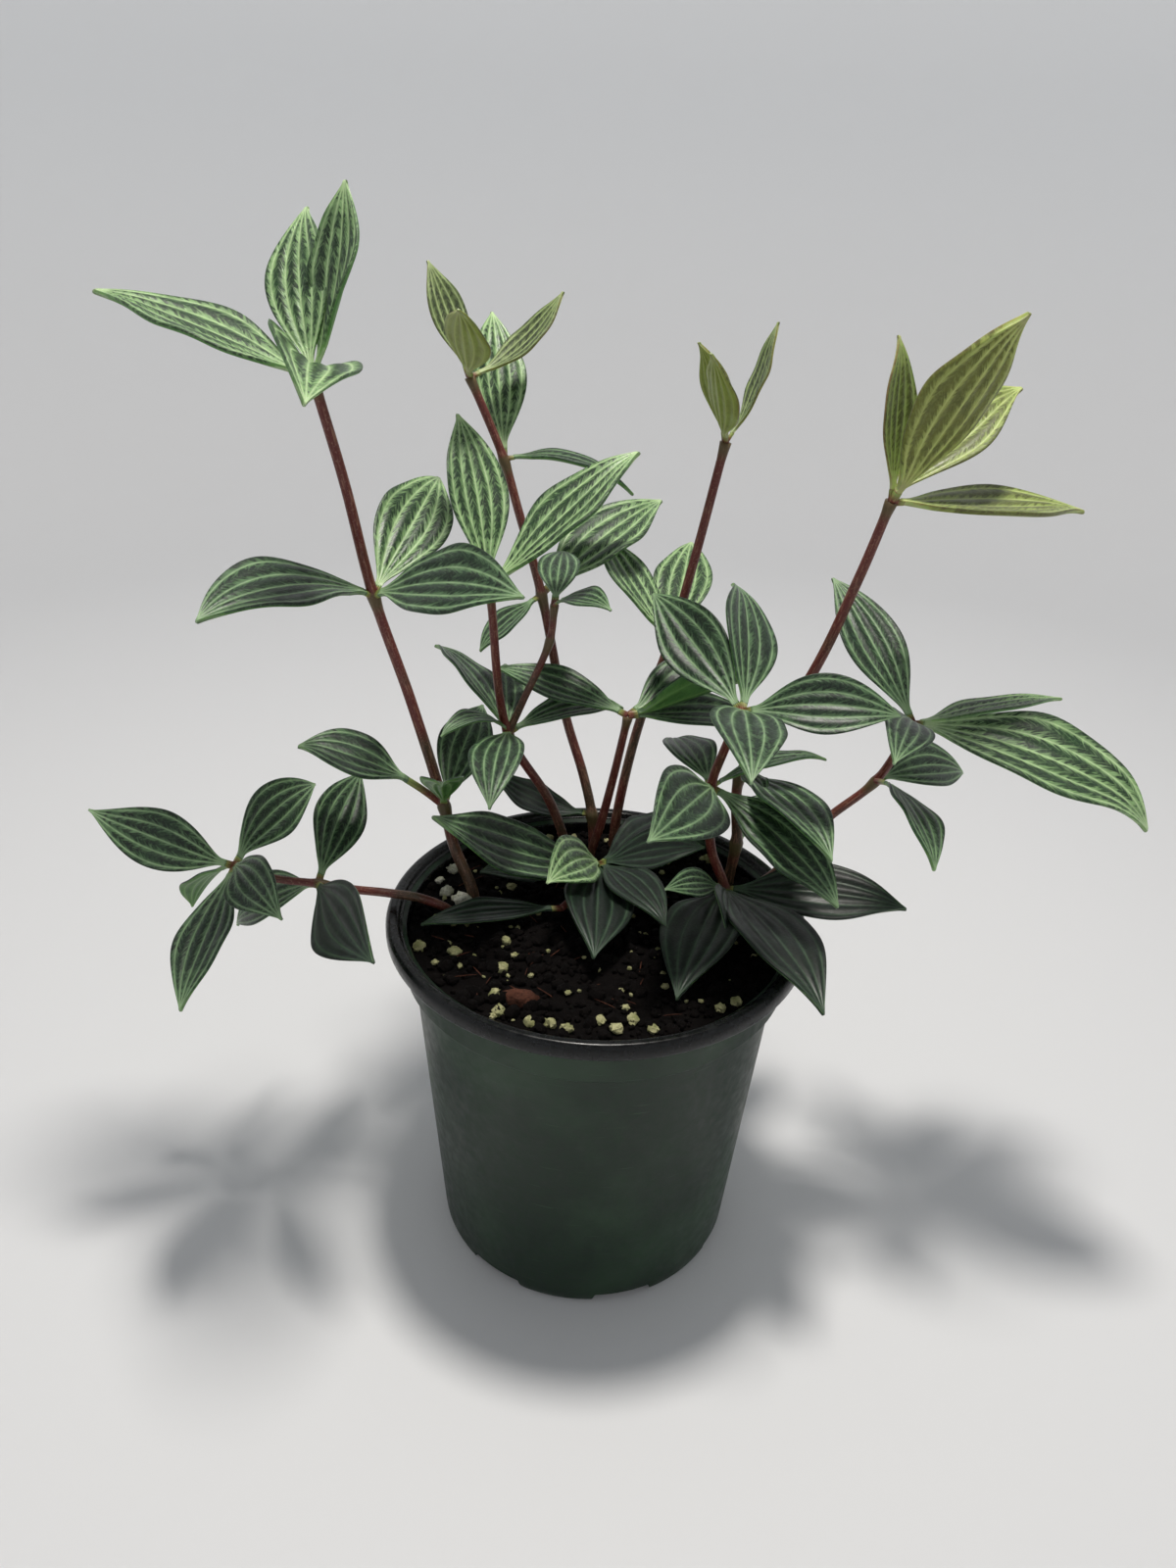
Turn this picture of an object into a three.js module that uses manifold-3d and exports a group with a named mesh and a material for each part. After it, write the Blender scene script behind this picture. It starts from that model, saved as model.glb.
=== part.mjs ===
// A bushy striped peperomia in a round nursery pot.
// Millimetres and degrees, +Z up. The origin is the middle of the pot's foot, on the surface it stands on.
// The plant is ten leafy shoots that grow out of the soil. Each shoot is one piece: its stems, and whorls of
// thick pointed leaves on the swollen joints of the stems. A heading of 0 points along +X, 90 along +Y.

import * as THREE from "three";
import { mergeVertices } from "three/addons/utils/BufferGeometryUtils.js";
import Module from "manifold-3d";

// ---------------------------------------------------------------- driving dimensions

const POT_HEIGHT = 106;
const RIM_RADIUS = 57.5;
const RIM_WIDTH = 3.6;
const RIM_DEPTH = 4.4;
const WALL = 1.3;
const COLLAR_RADIUS = 53; // outside of the wall between the rim and the stacking ledge
const LEDGE_HEIGHT = 90;
const LEDGE_TOP = LEDGE_HEIGHT + 1.2;
const SHOULDER_RADIUS = 50.3; // outside of the wall just below the ledge
const CORNER_HEIGHT = 4; // the wall rounds in to the foot below this
const CORNER_RADIUS = 43.3;
const FOOT_RADIUS = 41.7;
const FOOT_WIDTH = 2;
const FLOOR_UNDERSIDE = 3;
const PAD_RADIUS = 12; // the middle of the floor dips down to the surface here
const NOTCH_COUNT = 7;
const NOTCH_WIDTH = 17.8; // along the foot ring, on the surface
const NOTCH_SLANT = 0.9; // how far an end leans in on its way up
const NOTCH_RISE = 3.4;
const NOTCH_DEPTH = 8;
const FIRST_NOTCH = -73.3;
const SLOT_DEPTH = 5;
const SLOT_WIDTH = 10;
const SLOT_HEIGHT = 6;
const SLOT_INSET = 4.5; // from the inside of the foot ring to the middle of a drainage slot
const POT_SIDES = 44;

const SOIL_LEVEL = 101;
const SOIL_GAP = 0.35;
const SOIL_SIDES = 32;
const SOIL_RINGS = 5;
const SOIL_BUMP = 0.7;

const STEM_FOOT = 88; // the stems stand this high, 13 below the soil level
const HOLE_CLEARANCE = 0.8;
const HOLE_SIDES = 8;
const STEM_SIDES = 6;
const STEM_STEPS = 2; // steps between two points of a stem's path
const JOINT_SWELL = 1.25;

const PETIOLE_RADIUS = 1.1;
const BLADE_THICKNESS = 1.2;
const TIP_THINNING = 0.3; // share of the thickness a blade loses towards its tip
const BLADE_STATIONS = [0.1, 0.28, 0.5, 0.72, 0.9];
const WALK_STEPS = 40;

const COLOURS = {
  pot: 0x36483d,
  soil: 0x1c1714,
  oldLeaf: 0x35503f,
  youngLeaf: 0x5c6d42,
};

// ---------------------------------------------------------------- solids

const wasm = await Module();
wasm.setup();

function solidOf(geometry) {
  const bare = geometry.clone();
  bare.deleteAttribute("normal");
  bare.deleteAttribute("uv");
  const merged = mergeVertices(bare, 1e-3);
  return new wasm.Manifold(
    new wasm.Mesh({
      numProp: 3,
      vertProperties: merged.attributes.position.array,
      triVerts: new Uint32Array(merged.index.array),
    }),
  );
}

function geometryOf(solid) {
  const mesh = solid.getMesh();
  const geometry = new THREE.BufferGeometry();
  geometry.setAttribute("position", new THREE.BufferAttribute(mesh.vertProperties, 3));
  geometry.setIndex(new THREE.BufferAttribute(mesh.triVerts, 1));
  geometry.computeVertexNormals();
  return geometry;
}

function named(name, solid, colour, roughness) {
  const material = new THREE.MeshStandardMaterial({ color: colour, roughness, metalness: 0 });
  const mesh = new THREE.Mesh(geometryOf(solid), material);
  mesh.name = name;
  return mesh;
}

const union = (solids) => solids.reduce((all, next) => all.add(next));

// Skins a row of rings, each with the same number of points, and closes both ends.
// The points of a ring run anticlockwise as seen from the far end. A ring of one point is a tip.
function loft(rings) {
  const sides = rings[0].length;
  const positions = rings.flat().flatMap((p) => [p.x, p.y, p.z]);
  const index = [];
  const last = rings.length - 1;
  for (let k = 1; k < sides - 1; k++) index.push(0, k + 1, k);
  for (let i = 0; i < last; i++) {
    const near = i * sides;
    const far = near + sides;
    for (let k = 0; k < sides; k++) {
      const next = (k + 1) % sides;
      if (rings[i + 1].length === 1) index.push(near + k, near + next, far);
      else index.push(near + k, near + next, far + next, near + k, far + next, far + k);
    }
  }
  if (rings[last].length > 1) {
    const end = last * sides;
    for (let k = 1; k < sides - 1; k++) index.push(end, end + k, end + k + 1);
  }
  const geometry = new THREE.BufferGeometry();
  geometry.setAttribute("position", new THREE.Float32BufferAttribute(positions, 3));
  geometry.setIndex(index);
  return geometry;
}

// ---------------------------------------------------------------- pot and soil

const radians = THREE.MathUtils.degToRad;
const profile = (points) => points.map(([radius, height]) => new THREE.Vector2(radius, height));

function turned(points, sides) {
  const geometry = new THREE.LatheGeometry(profile(points), sides);
  return geometry.rotateX(Math.PI / 2);
}

// The outer wall leans out from its rounded bottom corner to the stacking ledge.
function wallRadius(height) {
  const rise = (height - CORNER_HEIGHT) / (LEDGE_HEIGHT - CORNER_HEIGHT);
  return THREE.MathUtils.lerp(CORNER_RADIUS, SHOULDER_RADIUS, rise);
}

function potSolid() {
  const floorTop = FLOOR_UNDERSIDE + WALL;
  const footInside = FOOT_RADIUS - FOOT_WIDTH;
  const rimInside = RIM_RADIUS - RIM_WIDTH;
  const rimUnderside = POT_HEIGHT - WALL;
  const skirtFoot = POT_HEIGHT - RIM_DEPTH;
  const collarInside = COLLAR_RADIUS - WALL;
  const body = solidOf(
    turned(
      [
        [0, 0],
        [PAD_RADIUS, 0],
        [PAD_RADIUS + 2, FLOOR_UNDERSIDE],
        [footInside - 1, FLOOR_UNDERSIDE],
        [footInside, 0],
        [FOOT_RADIUS, 0],
        [CORNER_RADIUS - 0.3, 1.8],
        [CORNER_RADIUS, CORNER_HEIGHT],
        [SHOULDER_RADIUS, LEDGE_HEIGHT],
        [COLLAR_RADIUS, LEDGE_TOP],
        [COLLAR_RADIUS, rimUnderside],
        [RIM_RADIUS - WALL, rimUnderside],
        [RIM_RADIUS - WALL, skirtFoot],
        [RIM_RADIUS, skirtFoot],
        [RIM_RADIUS, POT_HEIGHT - 1],
        [RIM_RADIUS - 0.8, POT_HEIGHT],
        [rimInside + 0.6, POT_HEIGHT],
        [rimInside - 0.2, POT_HEIGHT - 1.5],
        [collarInside, POT_HEIGHT - 3],
        [collarInside, LEDGE_TOP],
        [SHOULDER_RADIUS - WALL, LEDGE_HEIGHT],
        [wallRadius(floorTop) - WALL, floorTop],
        [PAD_RADIUS + 1, floorTop],
        [PAD_RADIUS - 1, WALL],
        [0, WALL],
      ],
      POT_SIDES,
    ),
  );
  // Drainage: a notch up through the foot ring, open to a slot through the floor behind it.
  const low = NOTCH_WIDTH / 2 + NOTCH_SLANT;
  const high = NOTCH_WIDTH / 2 - NOTCH_SLANT;
  const opening = new THREE.Shape(
    profile([[-low, -NOTCH_RISE], [low, -NOTCH_RISE], [high, NOTCH_RISE], [-high, NOTCH_RISE]]),
  );
  const cuts = [];
  for (let i = 0; i < NOTCH_COUNT; i++) {
    const turn = radians(FIRST_NOTCH + (360 / NOTCH_COUNT) * i);
    const notch = new THREE.ExtrudeGeometry(opening, { depth: NOTCH_DEPTH, bevelEnabled: false });
    notch.rotateX(Math.PI / 2).rotateZ(Math.PI / 2).translate(FOOT_RADIUS - NOTCH_DEPTH / 2, 0, 0);
    const slot = new THREE.BoxGeometry(SLOT_DEPTH, SLOT_WIDTH, SLOT_HEIGHT);
    slot.translate(footInside - SLOT_INSET, 0, FLOOR_UNDERSIDE);
    cuts.push(solidOf(notch.rotateZ(turn)), solidOf(slot.rotateZ(turn)));
  }
  return body.subtract(union(cuts));
}

// Grains of perlite and bark on the soil: x, y and radius.
const GRAINS = [
  [-38, 6, 3.4], [-47, -16, 2.1], [-43, 24, 2.0], [-46, 18, 1.8], [-41, 27, 2.2], [-43, 11, 2.4],
  [-37, -18, 2.0], [-24, -23, 2.2], [-25, -34, 1.9], [-23, -41, 2.1], [-15, -45, 2.1], [-10, -45, 1.8],
  [-6, -47, 1.9], [-18, -36, 4.0], [2, -43, 1.7], [6, -46, 2.0], [10, -42, 2.0], [15, -45, 1.6],
  [32, -35, 1.6], [36, -33, 1.8], [13, 40, 1.7], [33, 36, 2.0], [-25, 16, 1.6], [-24, -11, 1.7],
  [44, -8, 1.7], [22, 42, 1.6], [-16, 45, 1.7],
];

function soilHeight(x, y) {
  const waves = Math.sin(x / 6.1 + 1.2) + Math.sin(y / 4.7 - 0.6) + Math.sin((x + y) / 3.3);
  return SOIL_LEVEL - y / 70 + (SOIL_BUMP * waves) / 3;
}

function soilSolid(holes) {
  const underside = FLOOR_UNDERSIDE + WALL + SOIL_GAP;
  const inset = WALL + SOIL_GAP;
  const points = [
    [0, underside],
    [wallRadius(underside) - inset, underside],
    [SHOULDER_RADIUS - inset, LEDGE_HEIGHT],
    [COLLAR_RADIUS - inset, LEDGE_TOP],
  ];
  for (let ring = 0; ring <= SOIL_RINGS; ring++) {
    points.push([(COLLAR_RADIUS - inset) * (1 - ring / SOIL_RINGS), SOIL_LEVEL]);
  }
  const bed = turned(points, SOIL_SIDES);
  const places = bed.attributes.position;
  for (let i = 0; i < places.count; i++) {
    if (places.getZ(i) > SOIL_LEVEL - 1) {
      places.setZ(i, soilHeight(places.getX(i), places.getY(i)));
    }
  }
  const grains = GRAINS.map(([x, y, radius], i) => {
    const grain = new THREE.IcosahedronGeometry(radius, 0);
    grain.rotateX(i).rotateY(2 * i).scale(1, 0.85, 0.8);
    return solidOf(grain.translate(x, y, soilHeight(x, y) + radius * 0.25));
  });
  return union([solidOf(bed), ...grains]).subtract(union(holes));
}

// ---------------------------------------------------------------- stems and leaves

const point = ([x, y, z]) => new THREE.Vector3(x, y, z);
const ACROSS = new THREE.Vector3(0, 1, 0);
const UP = new THREE.Vector3(0, 0, 1);

// A stem of fleshy wood along a smooth path, thinner towards the top, swollen at its joints.
function stemSolid({ path, radii, joints = [] }) {
  const curve = new THREE.CatmullRomCurve3(path.map(point));
  const steps = (path.length - 1) * STEM_STEPS;
  const swollen = joints.map((joint) => joint * STEM_STEPS);
  const rings = [];
  for (let i = 0; i <= steps; i++) {
    const along = i / steps;
    const centre = curve.getPoint(along);
    const ahead = curve.getTangent(along);
    const side = new THREE.Vector3().crossVectors(ACROSS, ahead).normalize();
    const front = new THREE.Vector3().crossVectors(ahead, side);
    const swell = swollen.includes(i) ? JOINT_SWELL : 1;
    const radius = THREE.MathUtils.lerp(radii[0], radii[1], along) * swell;
    const ring = [];
    for (let k = 0; k < STEM_SIDES; k++) {
      const turn = (2 * Math.PI * k) / STEM_SIDES;
      const rim = centre.clone().addScaledVector(side, radius * Math.cos(turn));
      ring.push(rim.addScaledVector(front, radius * Math.sin(turn)));
    }
    rings.push(ring);
  }
  return solidOf(loft(rings));
}

function holeSolid({ path, radii }) {
  const [x, y] = path[0];
  const depth = SOIL_LEVEL - STEM_FOOT + 8;
  const radius = radii[0] + HOLE_CLEARANCE;
  const hole = new THREE.CylinderGeometry(radius, radius, depth, HOLE_SIDES).rotateX(Math.PI / 2);
  return solidOf(hole.translate(x, y, STEM_FOOT - SOIL_GAP + depth / 2));
}

// Half the width of a blade at a share of its length, for a width of 1: a lens, wedged in at both ends.
const LENS = 1.1;
const bladeHalf = (share) => Math.sin(Math.PI * share) ** LENS / 2;

// The midline of a leaf: it leaves the stem at its rise, and arches down by its droop on the way to the tip.
function midline(base, { heading, rise, length, droop = 15, roll = 0, petiole = 3, turn = 0, hook = 0 }) {
  const total = petiole + length;
  const place = base.clone();
  const frames = [];
  for (let i = 0; i <= WALK_STEPS; i++) {
    const share = i / WALK_STEPS;
    const curl = hook * Math.max(0, share * 4 - 3);
    const pitch = radians(rise - droop * share - curl);
    const course = radians(heading + turn * share);
    const flat = Math.cos(pitch);
    const ahead = new THREE.Vector3(flat * Math.cos(course), flat * Math.sin(course), Math.sin(pitch));
    const left = new THREE.Vector3().crossVectors(UP, ahead).normalize();
    const face = new THREE.Vector3().crossVectors(ahead, left);
    left.applyAxisAngle(ahead, radians(roll));
    face.applyAxisAngle(ahead, radians(roll));
    frames.push({ place: place.clone(), left, face });
    place.addScaledVector(ahead, total / WALK_STEPS);
  }
  return (distance) => frames[Math.round((distance / total) * WALK_STEPS)];
}

// The section of a blade runs round eight points: out along the upper face and back along the lower one.
const SECTION = [
  { across: 1, depth: 0 },
  { across: 0.5, depth: 0 },
  { across: 0, depth: 0 },
  { across: -0.5, depth: 0 },
  { across: -1, depth: 0 },
  { across: -0.5, depth: 0.85 },
  { across: 0, depth: 1 },
  { across: 0.5, depth: 0.85 },
];

// One leaf, petiole and blade in one, rooted in the middle of the stem at base.
// roll turns the blade about its midline, left edge up; cup lifts both edges by a share of half its width.
function leafSolid(base, leaf) {
  const { length, width, petiole = 3, cup = 0.2 } = leaf;
  const at = midline(base, leaf);
  const stalk = ({ place, left, face }) =>
    SECTION.map((corner, k) => {
      const turn = (k * Math.PI) / 4;
      const rim = place.clone().addScaledVector(left, PETIOLE_RADIUS * Math.cos(turn));
      return rim.addScaledVector(face, PETIOLE_RADIUS * Math.sin(turn));
    });
  const blade = ({ place, left, face }, share) => {
    const half = width * bladeHalf(share);
    const thick = BLADE_THICKNESS * (1 - TIP_THINNING * share);
    return SECTION.map(({ across, depth }) => {
      const lift = cup * half * across ** 2 - thick * depth;
      return place.clone().addScaledVector(left, half * across).addScaledVector(face, lift);
    });
  };
  const rings = [stalk(at(0)), stalk(at(petiole))];
  for (const share of BLADE_STATIONS) rings.push(blade(at(petiole + length * share), share));
  rings.push([at(petiole + length).place]);
  return solidOf(loft(rings));
}

// ---------------------------------------------------------------- the shoots
// A whorl gives the joint that its leaves grow from, then each leaf.

const A1 = [-44, 16, 127];
const A2 = [-60, 12, 189];
const A3 = [-70, 6, 242];
const B1 = [-77, 1, 109];
const B2 = [-98, -3, 116];
const C1 = [-27, 25, 146];
const C2 = [-31, 15, 191];
const C3 = [-15, 25, 184];
const D0 = [-3, 42, 112];
const D1 = [-20, 50, 178];
const D2 = [-31, 52, 215];
const D3 = [-40, 52, 236];
const E1 = [6, 25, 153];
const F1 = [17, 45, 167];
const F3 = [28, 48, 223];
const G0 = [39, 22, 116];
const G1 = [38, 22, 138];
const G2 = [65, 10, 219];
const H0 = [36, 14, 105];
const H1 = [29, 10, 140];
const H2 = [34, 2, 166];
const I1 = [75, 20, 139];
const I2 = [81, 15, 159];
const K1 = [0, 19, 108];
const K2 = [-10, 2, 104];

const SHOOTS = {
  tall_left_shoot: {
    colour: COLOURS.oldLeaf,
    stems: [
      {
        path: [[-35, 9, 88], [-35, 9, 102], [-41, 12, 117], A1, [-52, 14, 160], A2, [-65, 9, 218], A3],
        radii: [1.7, 1.2],
        joints: [3, 5, 7],
      },
    ],
    whorls: [
      [A1, { heading: -174, rise: 44, length: 30, width: 20, droop: 34, roll: -10, petiole: 14 },
        { heading: -83, rise: 57, length: 25, width: 12, droop: 30, cup: 0.4 },
        { heading: 80, rise: 30, length: 39, width: 16, droop: 21, roll: 16 }],
      [A2, { heading: -138, rise: 28, length: 49, width: 22, droop: 42, roll: -14, turn: 18 },
        { heading: 71, rise: 35, length: 47, width: 20, droop: 22, roll: 29, turn: 9 },
        { heading: -36, rise: 26, length: 48, width: 21, droop: 25, roll: 39 }],
      [A3, { heading: 166, rise: 19, length: 52, width: 23, droop: 3, roll: -5, turn: 6 },
        { heading: 117, rise: 61, length: 43, width: 17, droop: 26, roll: -30, turn: -28 },
        { heading: 35, rise: 66, length: 40, width: 18, droop: -8, roll: -25, turn: 60, cup: 0.3 },
        { heading: -78, rise: 29, length: 45, width: 21, droop: 50, roll: -26, cup: 0.5 }],
    ],
  },
  low_left_shoot: {
    colour: COLOURS.oldLeaf,
    stems: [
      {
        path: [
          [-40, 1, 88], [-40, 1, 101], [-48, -1, 107], [-57, -2, 109], [-67, -1, 109], B1, [-88, -2, 112], B2,
        ],
        radii: [1.4, 1.0],
        joints: [5, 7],
      },
    ],
    whorls: [
      [B1, { heading: 85, rise: 31, length: 37, width: 16, droop: 13, roll: 41, turn: -9 },
        { heading: -66, rise: 13, length: 43, width: 20, droop: 16, roll: 52, turn: 11 },
        { heading: 157, rise: -21, length: 38, width: 16, droop: 32, roll: -40 }],
      [B2, { heading: -158, rise: 28, length: 37, width: 16, droop: -9, roll: -60, turn: -9 },
        { heading: 85, rise: 19, length: 41, width: 16, droop: 27, roll: 55, turn: -27 },
        { heading: -65, rise: 30, length: 33, width: 15, droop: 50, roll: 40, turn: 20 },
        { heading: -96, rise: -16, length: 41, width: 17, droop: 13, roll: 20 },
        { heading: 141, rise: -24, length: 34, width: 14, droop: 40 }],
    ],
  },
  forked_shoot: {
    colour: COLOURS.oldLeaf,
    stems: [
      { path: [[-9, 30, 88], [-9, 30, 102], [-15, 28, 123], C1, C2], radii: [1.6, 1.1], joints: [3, 4] },
      { path: [C1, [-23, 25, 156], [-16, 25, 174], C3], radii: [1.1, 0.9], joints: [2, 3] },
    ],
    whorls: [
      [C1, { heading: 123, rise: 34, length: 40, width: 17, droop: 33, roll: 28, turn: 8 },
        { heading: -138, rise: 60, length: 23, width: 9, droop: 95 },
        { heading: -92, rise: 23, length: 37, width: 15, droop: 55, roll: 4 },
        { heading: 23, rise: 28, length: 33, width: 13, droop: 44, roll: 7 },
        { heading: 97, rise: 25, length: 29, width: 13, droop: 20 }],
      [C2, { heading: 112, rise: 64, length: 45, width: 17, droop: 21, roll: 10 },
        { heading: 25, rise: 44, length: 50, width: 21, droop: 13, roll: 3, turn: 13 }],
      [C3, { heading: 89, rise: 20, length: 29, width: 12, droop: 20 },
        { heading: -51, rise: 38, length: 22, width: 9, droop: 47, roll: 19 }],
    ],
  },
  tall_back_shoot: {
    colour: COLOURS.youngLeaf,
    stems: [
      {
        path: [[-2, 40, 88], [-2, 40, 101], D0, [-6, 44, 124], [-12, 47, 142], D1, [-27, 51, 202], D2, D3],
        radii: [1.6, 1.1],
        joints: [2, 5, 7, 8],
      },
    ],
    whorls: [
      [D0, { heading: 172, rise: -5, length: 31, width: 13, droop: -45, roll: -15, turn: -10 }],
      [D1, { heading: 45, rise: 31, length: 51, width: 22, droop: 20, roll: 10, turn: 5 },
        { heading: -150, rise: -30, length: 21, width: 13, droop: 10 }],
      [D2, { heading: 102, rise: 65, length: 42, width: 16, droop: 29, roll: 16 },
        { heading: 15, rise: 10, length: 37, width: 15, droop: 52 }],
      [D3, { heading: 141, rise: 61, length: 28, width: 11, droop: 0, roll: -15 },
        { heading: -88, rise: 37, length: 27, width: 14, droop: -10, roll: -30 },
        { heading: 26, rise: 17, length: 31, width: 12, droop: -45, roll: 10 }],
    ],
  },
  middle_shoot: {
    colour: COLOURS.oldLeaf,
    stems: [
      { path: [[-3, 31, 88], [-3, 31, 102], [0, 30, 116], [3, 28, 133], E1], radii: [1.5, 1.1], joints: [4] },
    ],
    whorls: [
      [E1, { heading: 156, rise: 15, length: 38, width: 15, droop: 10, roll: -12, turn: 8 },
        { heading: 12, rise: 18, length: 33, width: 21, droop: 0, roll: -15, cup: 0.9 },
        { heading: 42, rise: 22, length: 31, width: 13, droop: 5, roll: 20 },
        { heading: 20, rise: 0, length: 39, width: 16, droop: 14, roll: 14 }],
    ],
  },
  tall_middle_shoot: {
    colour: COLOURS.youngLeaf,
    stems: [
      {
        path: [[4, 42, 88], [4, 42, 102], [5, 43, 114], [10, 44, 143], F1, [22, 47, 190], F3],
        radii: [1.6, 1.2],
        joints: [4, 6],
      },
    ],
    whorls: [
      [F1, { heading: 128, rise: 36, length: 43, width: 18, droop: 14, roll: 17, turn: -10 },
        { heading: 81, rise: 27, length: 44, width: 18, droop: 9 },
        { heading: 55, rise: -1, length: 34, width: 14, droop: 34, roll: 40 }],
      [F3, { heading: -137, rise: 72, length: 25, width: 10, droop: 9, roll: 18, turn: -21 },
        { heading: -106, rise: 43, length: 32, width: 13, droop: -10, roll: -39 },
        { heading: 33, rise: 46, length: 30, width: 11, droop: -40, roll: -25, turn: 11 }],
    ],
  },
  tall_right_shoot: {
    colour: COLOURS.youngLeaf,
    stems: [
      {
        path: [[38, 23, 88], [38, 23, 102], G0, G1, [53, 18, 170], [61, 14, 199], G2],
        radii: [1.7, 1.2],
        joints: [2, 3, 6],
      },
    ],
    whorls: [
      [G0, { heading: 62, rise: 10, length: 37, width: 16, droop: 20, roll: -22 }],
      [G1, { heading: -65, rise: 20, length: 45, width: 19, droop: 40, roll: -11 },
        { heading: -78, rise: 31, length: 19, width: 7, droop: 40 }],
      [G2, { heading: 121, rise: 83, length: 34, width: 12, droop: 0, roll: 10 },
        { heading: -39, rise: 63, length: 48, width: 21, droop: 0, roll: -27 },
        { heading: 51, rise: 40, length: 47, width: 20, droop: 25, roll: 25, turn: -25 },
        { heading: 19, rise: -6, length: 53, width: 23, droop: -5, roll: 3 }],
    ],
  },
  front_right_shoot: {
    colour: COLOURS.oldLeaf,
    stems: [
      {
        path: [[35, 14, 88], [35, 14, 98], H0, [31, 13, 119], H1, [31, 6, 153], H2],
        radii: [1.6, 1.1],
        joints: [2, 4, 6],
      },
    ],
    whorls: [
      [H0, { heading: -107, rise: 19, length: 51, width: 22, droop: 38, roll: 6 },
        { heading: -73, rise: 19, length: 57, width: 23, droop: 34, roll: -8, turn: 8 },
        { heading: -15, rise: 14, length: 48, width: 20, droop: 18, roll: 22, turn: 5 },
        { heading: -91, rise: 30, length: 31, width: 13, droop: 45, roll: -40 },
        { heading: -141, rise: 39, length: 22, width: 9, droop: 38, roll: -43 }],
      [H1, { heading: -100, rise: 25, length: 47, width: 22, droop: 29, roll: -37, turn: -23 },
        { heading: -37, rise: -9, length: 44, width: 19, droop: 33, roll: 14 },
        { heading: 105, rise: 16, length: 34, width: 15, droop: 40 },
        { heading: 9, rise: 36, length: 30, width: 13, droop: 42, roll: -14 }],
      [H2, { heading: 118, rise: 27, length: 45, width: 18, droop: 10, roll: -45, turn: 8 },
        { heading: 77, rise: 37, length: 46, width: 19, droop: 25, roll: 38, turn: 25 },
        { heading: -19, rise: 24, length: 37, width: 16, droop: 35, roll: 52, turn: 15 },
        { heading: -92, rise: 29, length: 42, width: 19, droop: 50, roll: -9 }],
    ],
  },
  far_right_shoot: {
    colour: COLOURS.oldLeaf,
    stems: [
      {
        path: [[42, 16, 88], [42, 16, 101], [51, 19, 109], [63, 20, 126], I1, I2],
        radii: [1.5, 1.1],
        joints: [4, 5],
      },
    ],
    whorls: [
      [I1, { heading: -80, rise: 28, length: 37, width: 16, droop: 60, roll: -30, petiole: 9 },
        { heading: 34, rise: 10, length: 36, width: 16, droop: 40, roll: 35 }],
      [I2, { heading: 120, rise: 43, length: 46, width: 17, droop: 15, roll: -16 },
        { heading: 22, rise: 6, length: 45, width: 16, droop: 6, roll: -14 },
        { heading: -26, rise: 8, length: 63, width: 27, droop: 36, roll: 16, hook: 25 },
        { heading: -110, rise: 36, length: 32, width: 14, droop: 60, roll: -21 }],
    ],
  },
  low_middle_shoot: {
    colour: COLOURS.oldLeaf,
    stems: [
      { path: [[1, 19, 88], [1, 19, 98], K1], radii: [1.5, 1.2], joints: [2] },
      { path: [[1, 19, 104], [-4, 11, 105], K2], radii: [1.1, 1.0] },
    ],
    whorls: [
      [K1, { heading: -154, rise: 15, length: 53, width: 23, droop: -28, roll: -20 },
        { heading: -113, rise: 46, length: 34, width: 16, droop: 50, roll: -42 },
        { heading: -90, rise: 13, length: 43, width: 20, droop: 22, roll: -14 },
        { heading: -60, rise: 24, length: 35, width: 15, droop: 40 },
        { heading: -16, rise: 35, length: 30, width: 14, droop: 24, roll: 30 },
        { heading: 48, rise: 8, length: 39, width: 17, droop: 10 },
        { heading: -179, rise: 4, length: 32, width: 13, droop: 20, roll: -25 }],
      [K2, { heading: -165, rise: 6, length: 36, width: 12, droop: 12 }],
    ],
  },
};

function shootSolid({ stems, whorls }) {
  const leaves = whorls.flatMap(([joint, ...ring]) => ring.map((leaf) => leafSolid(point(joint), leaf)));
  return union([...stems.map(stemSolid), ...leaves]);
}

// ---------------------------------------------------------------- the plant in its pot

const plant = new THREE.Group();
plant.add(named("nursery_pot", potSolid(), COLOURS.pot, 0.6));
const holes = Object.values(SHOOTS).map(({ stems }) => holeSolid(stems[0]));
plant.add(named("potting_soil", soilSolid(holes), COLOURS.soil, 1));
for (const [name, shoot] of Object.entries(SHOOTS)) {
  plant.add(named(name, shootSolid(shoot), shoot.colour, 0.5));
}

export default plant;
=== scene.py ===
"""The finished look of a striped peperomia in its nursery pot.

Metres and degrees, +Z up, with the origin in the middle of the pot's foot. A heading of 0 points along +X and one
of 90 along +Y. The leaves and stems follow the same named values as the solids that they stand for.
"""

import logging
import math
import random
from collections.abc import Callable, Iterable
from dataclasses import dataclass, field
from enum import Enum

import bmesh
import bpy
import numpy as np
from mathutils import Matrix, Vector, noise


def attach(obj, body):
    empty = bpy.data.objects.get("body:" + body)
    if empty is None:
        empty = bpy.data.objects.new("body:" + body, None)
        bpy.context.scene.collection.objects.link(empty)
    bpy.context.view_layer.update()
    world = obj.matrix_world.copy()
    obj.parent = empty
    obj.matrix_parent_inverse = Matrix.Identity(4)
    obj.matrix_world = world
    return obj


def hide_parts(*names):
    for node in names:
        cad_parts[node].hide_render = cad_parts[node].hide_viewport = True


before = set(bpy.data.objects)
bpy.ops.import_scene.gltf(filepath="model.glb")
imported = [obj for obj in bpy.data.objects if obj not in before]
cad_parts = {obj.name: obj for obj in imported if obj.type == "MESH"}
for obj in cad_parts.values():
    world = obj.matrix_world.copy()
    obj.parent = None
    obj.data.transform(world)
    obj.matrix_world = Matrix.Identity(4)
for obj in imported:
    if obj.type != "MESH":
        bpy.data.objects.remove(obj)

log = logging.getLogger("peperomia")

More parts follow.
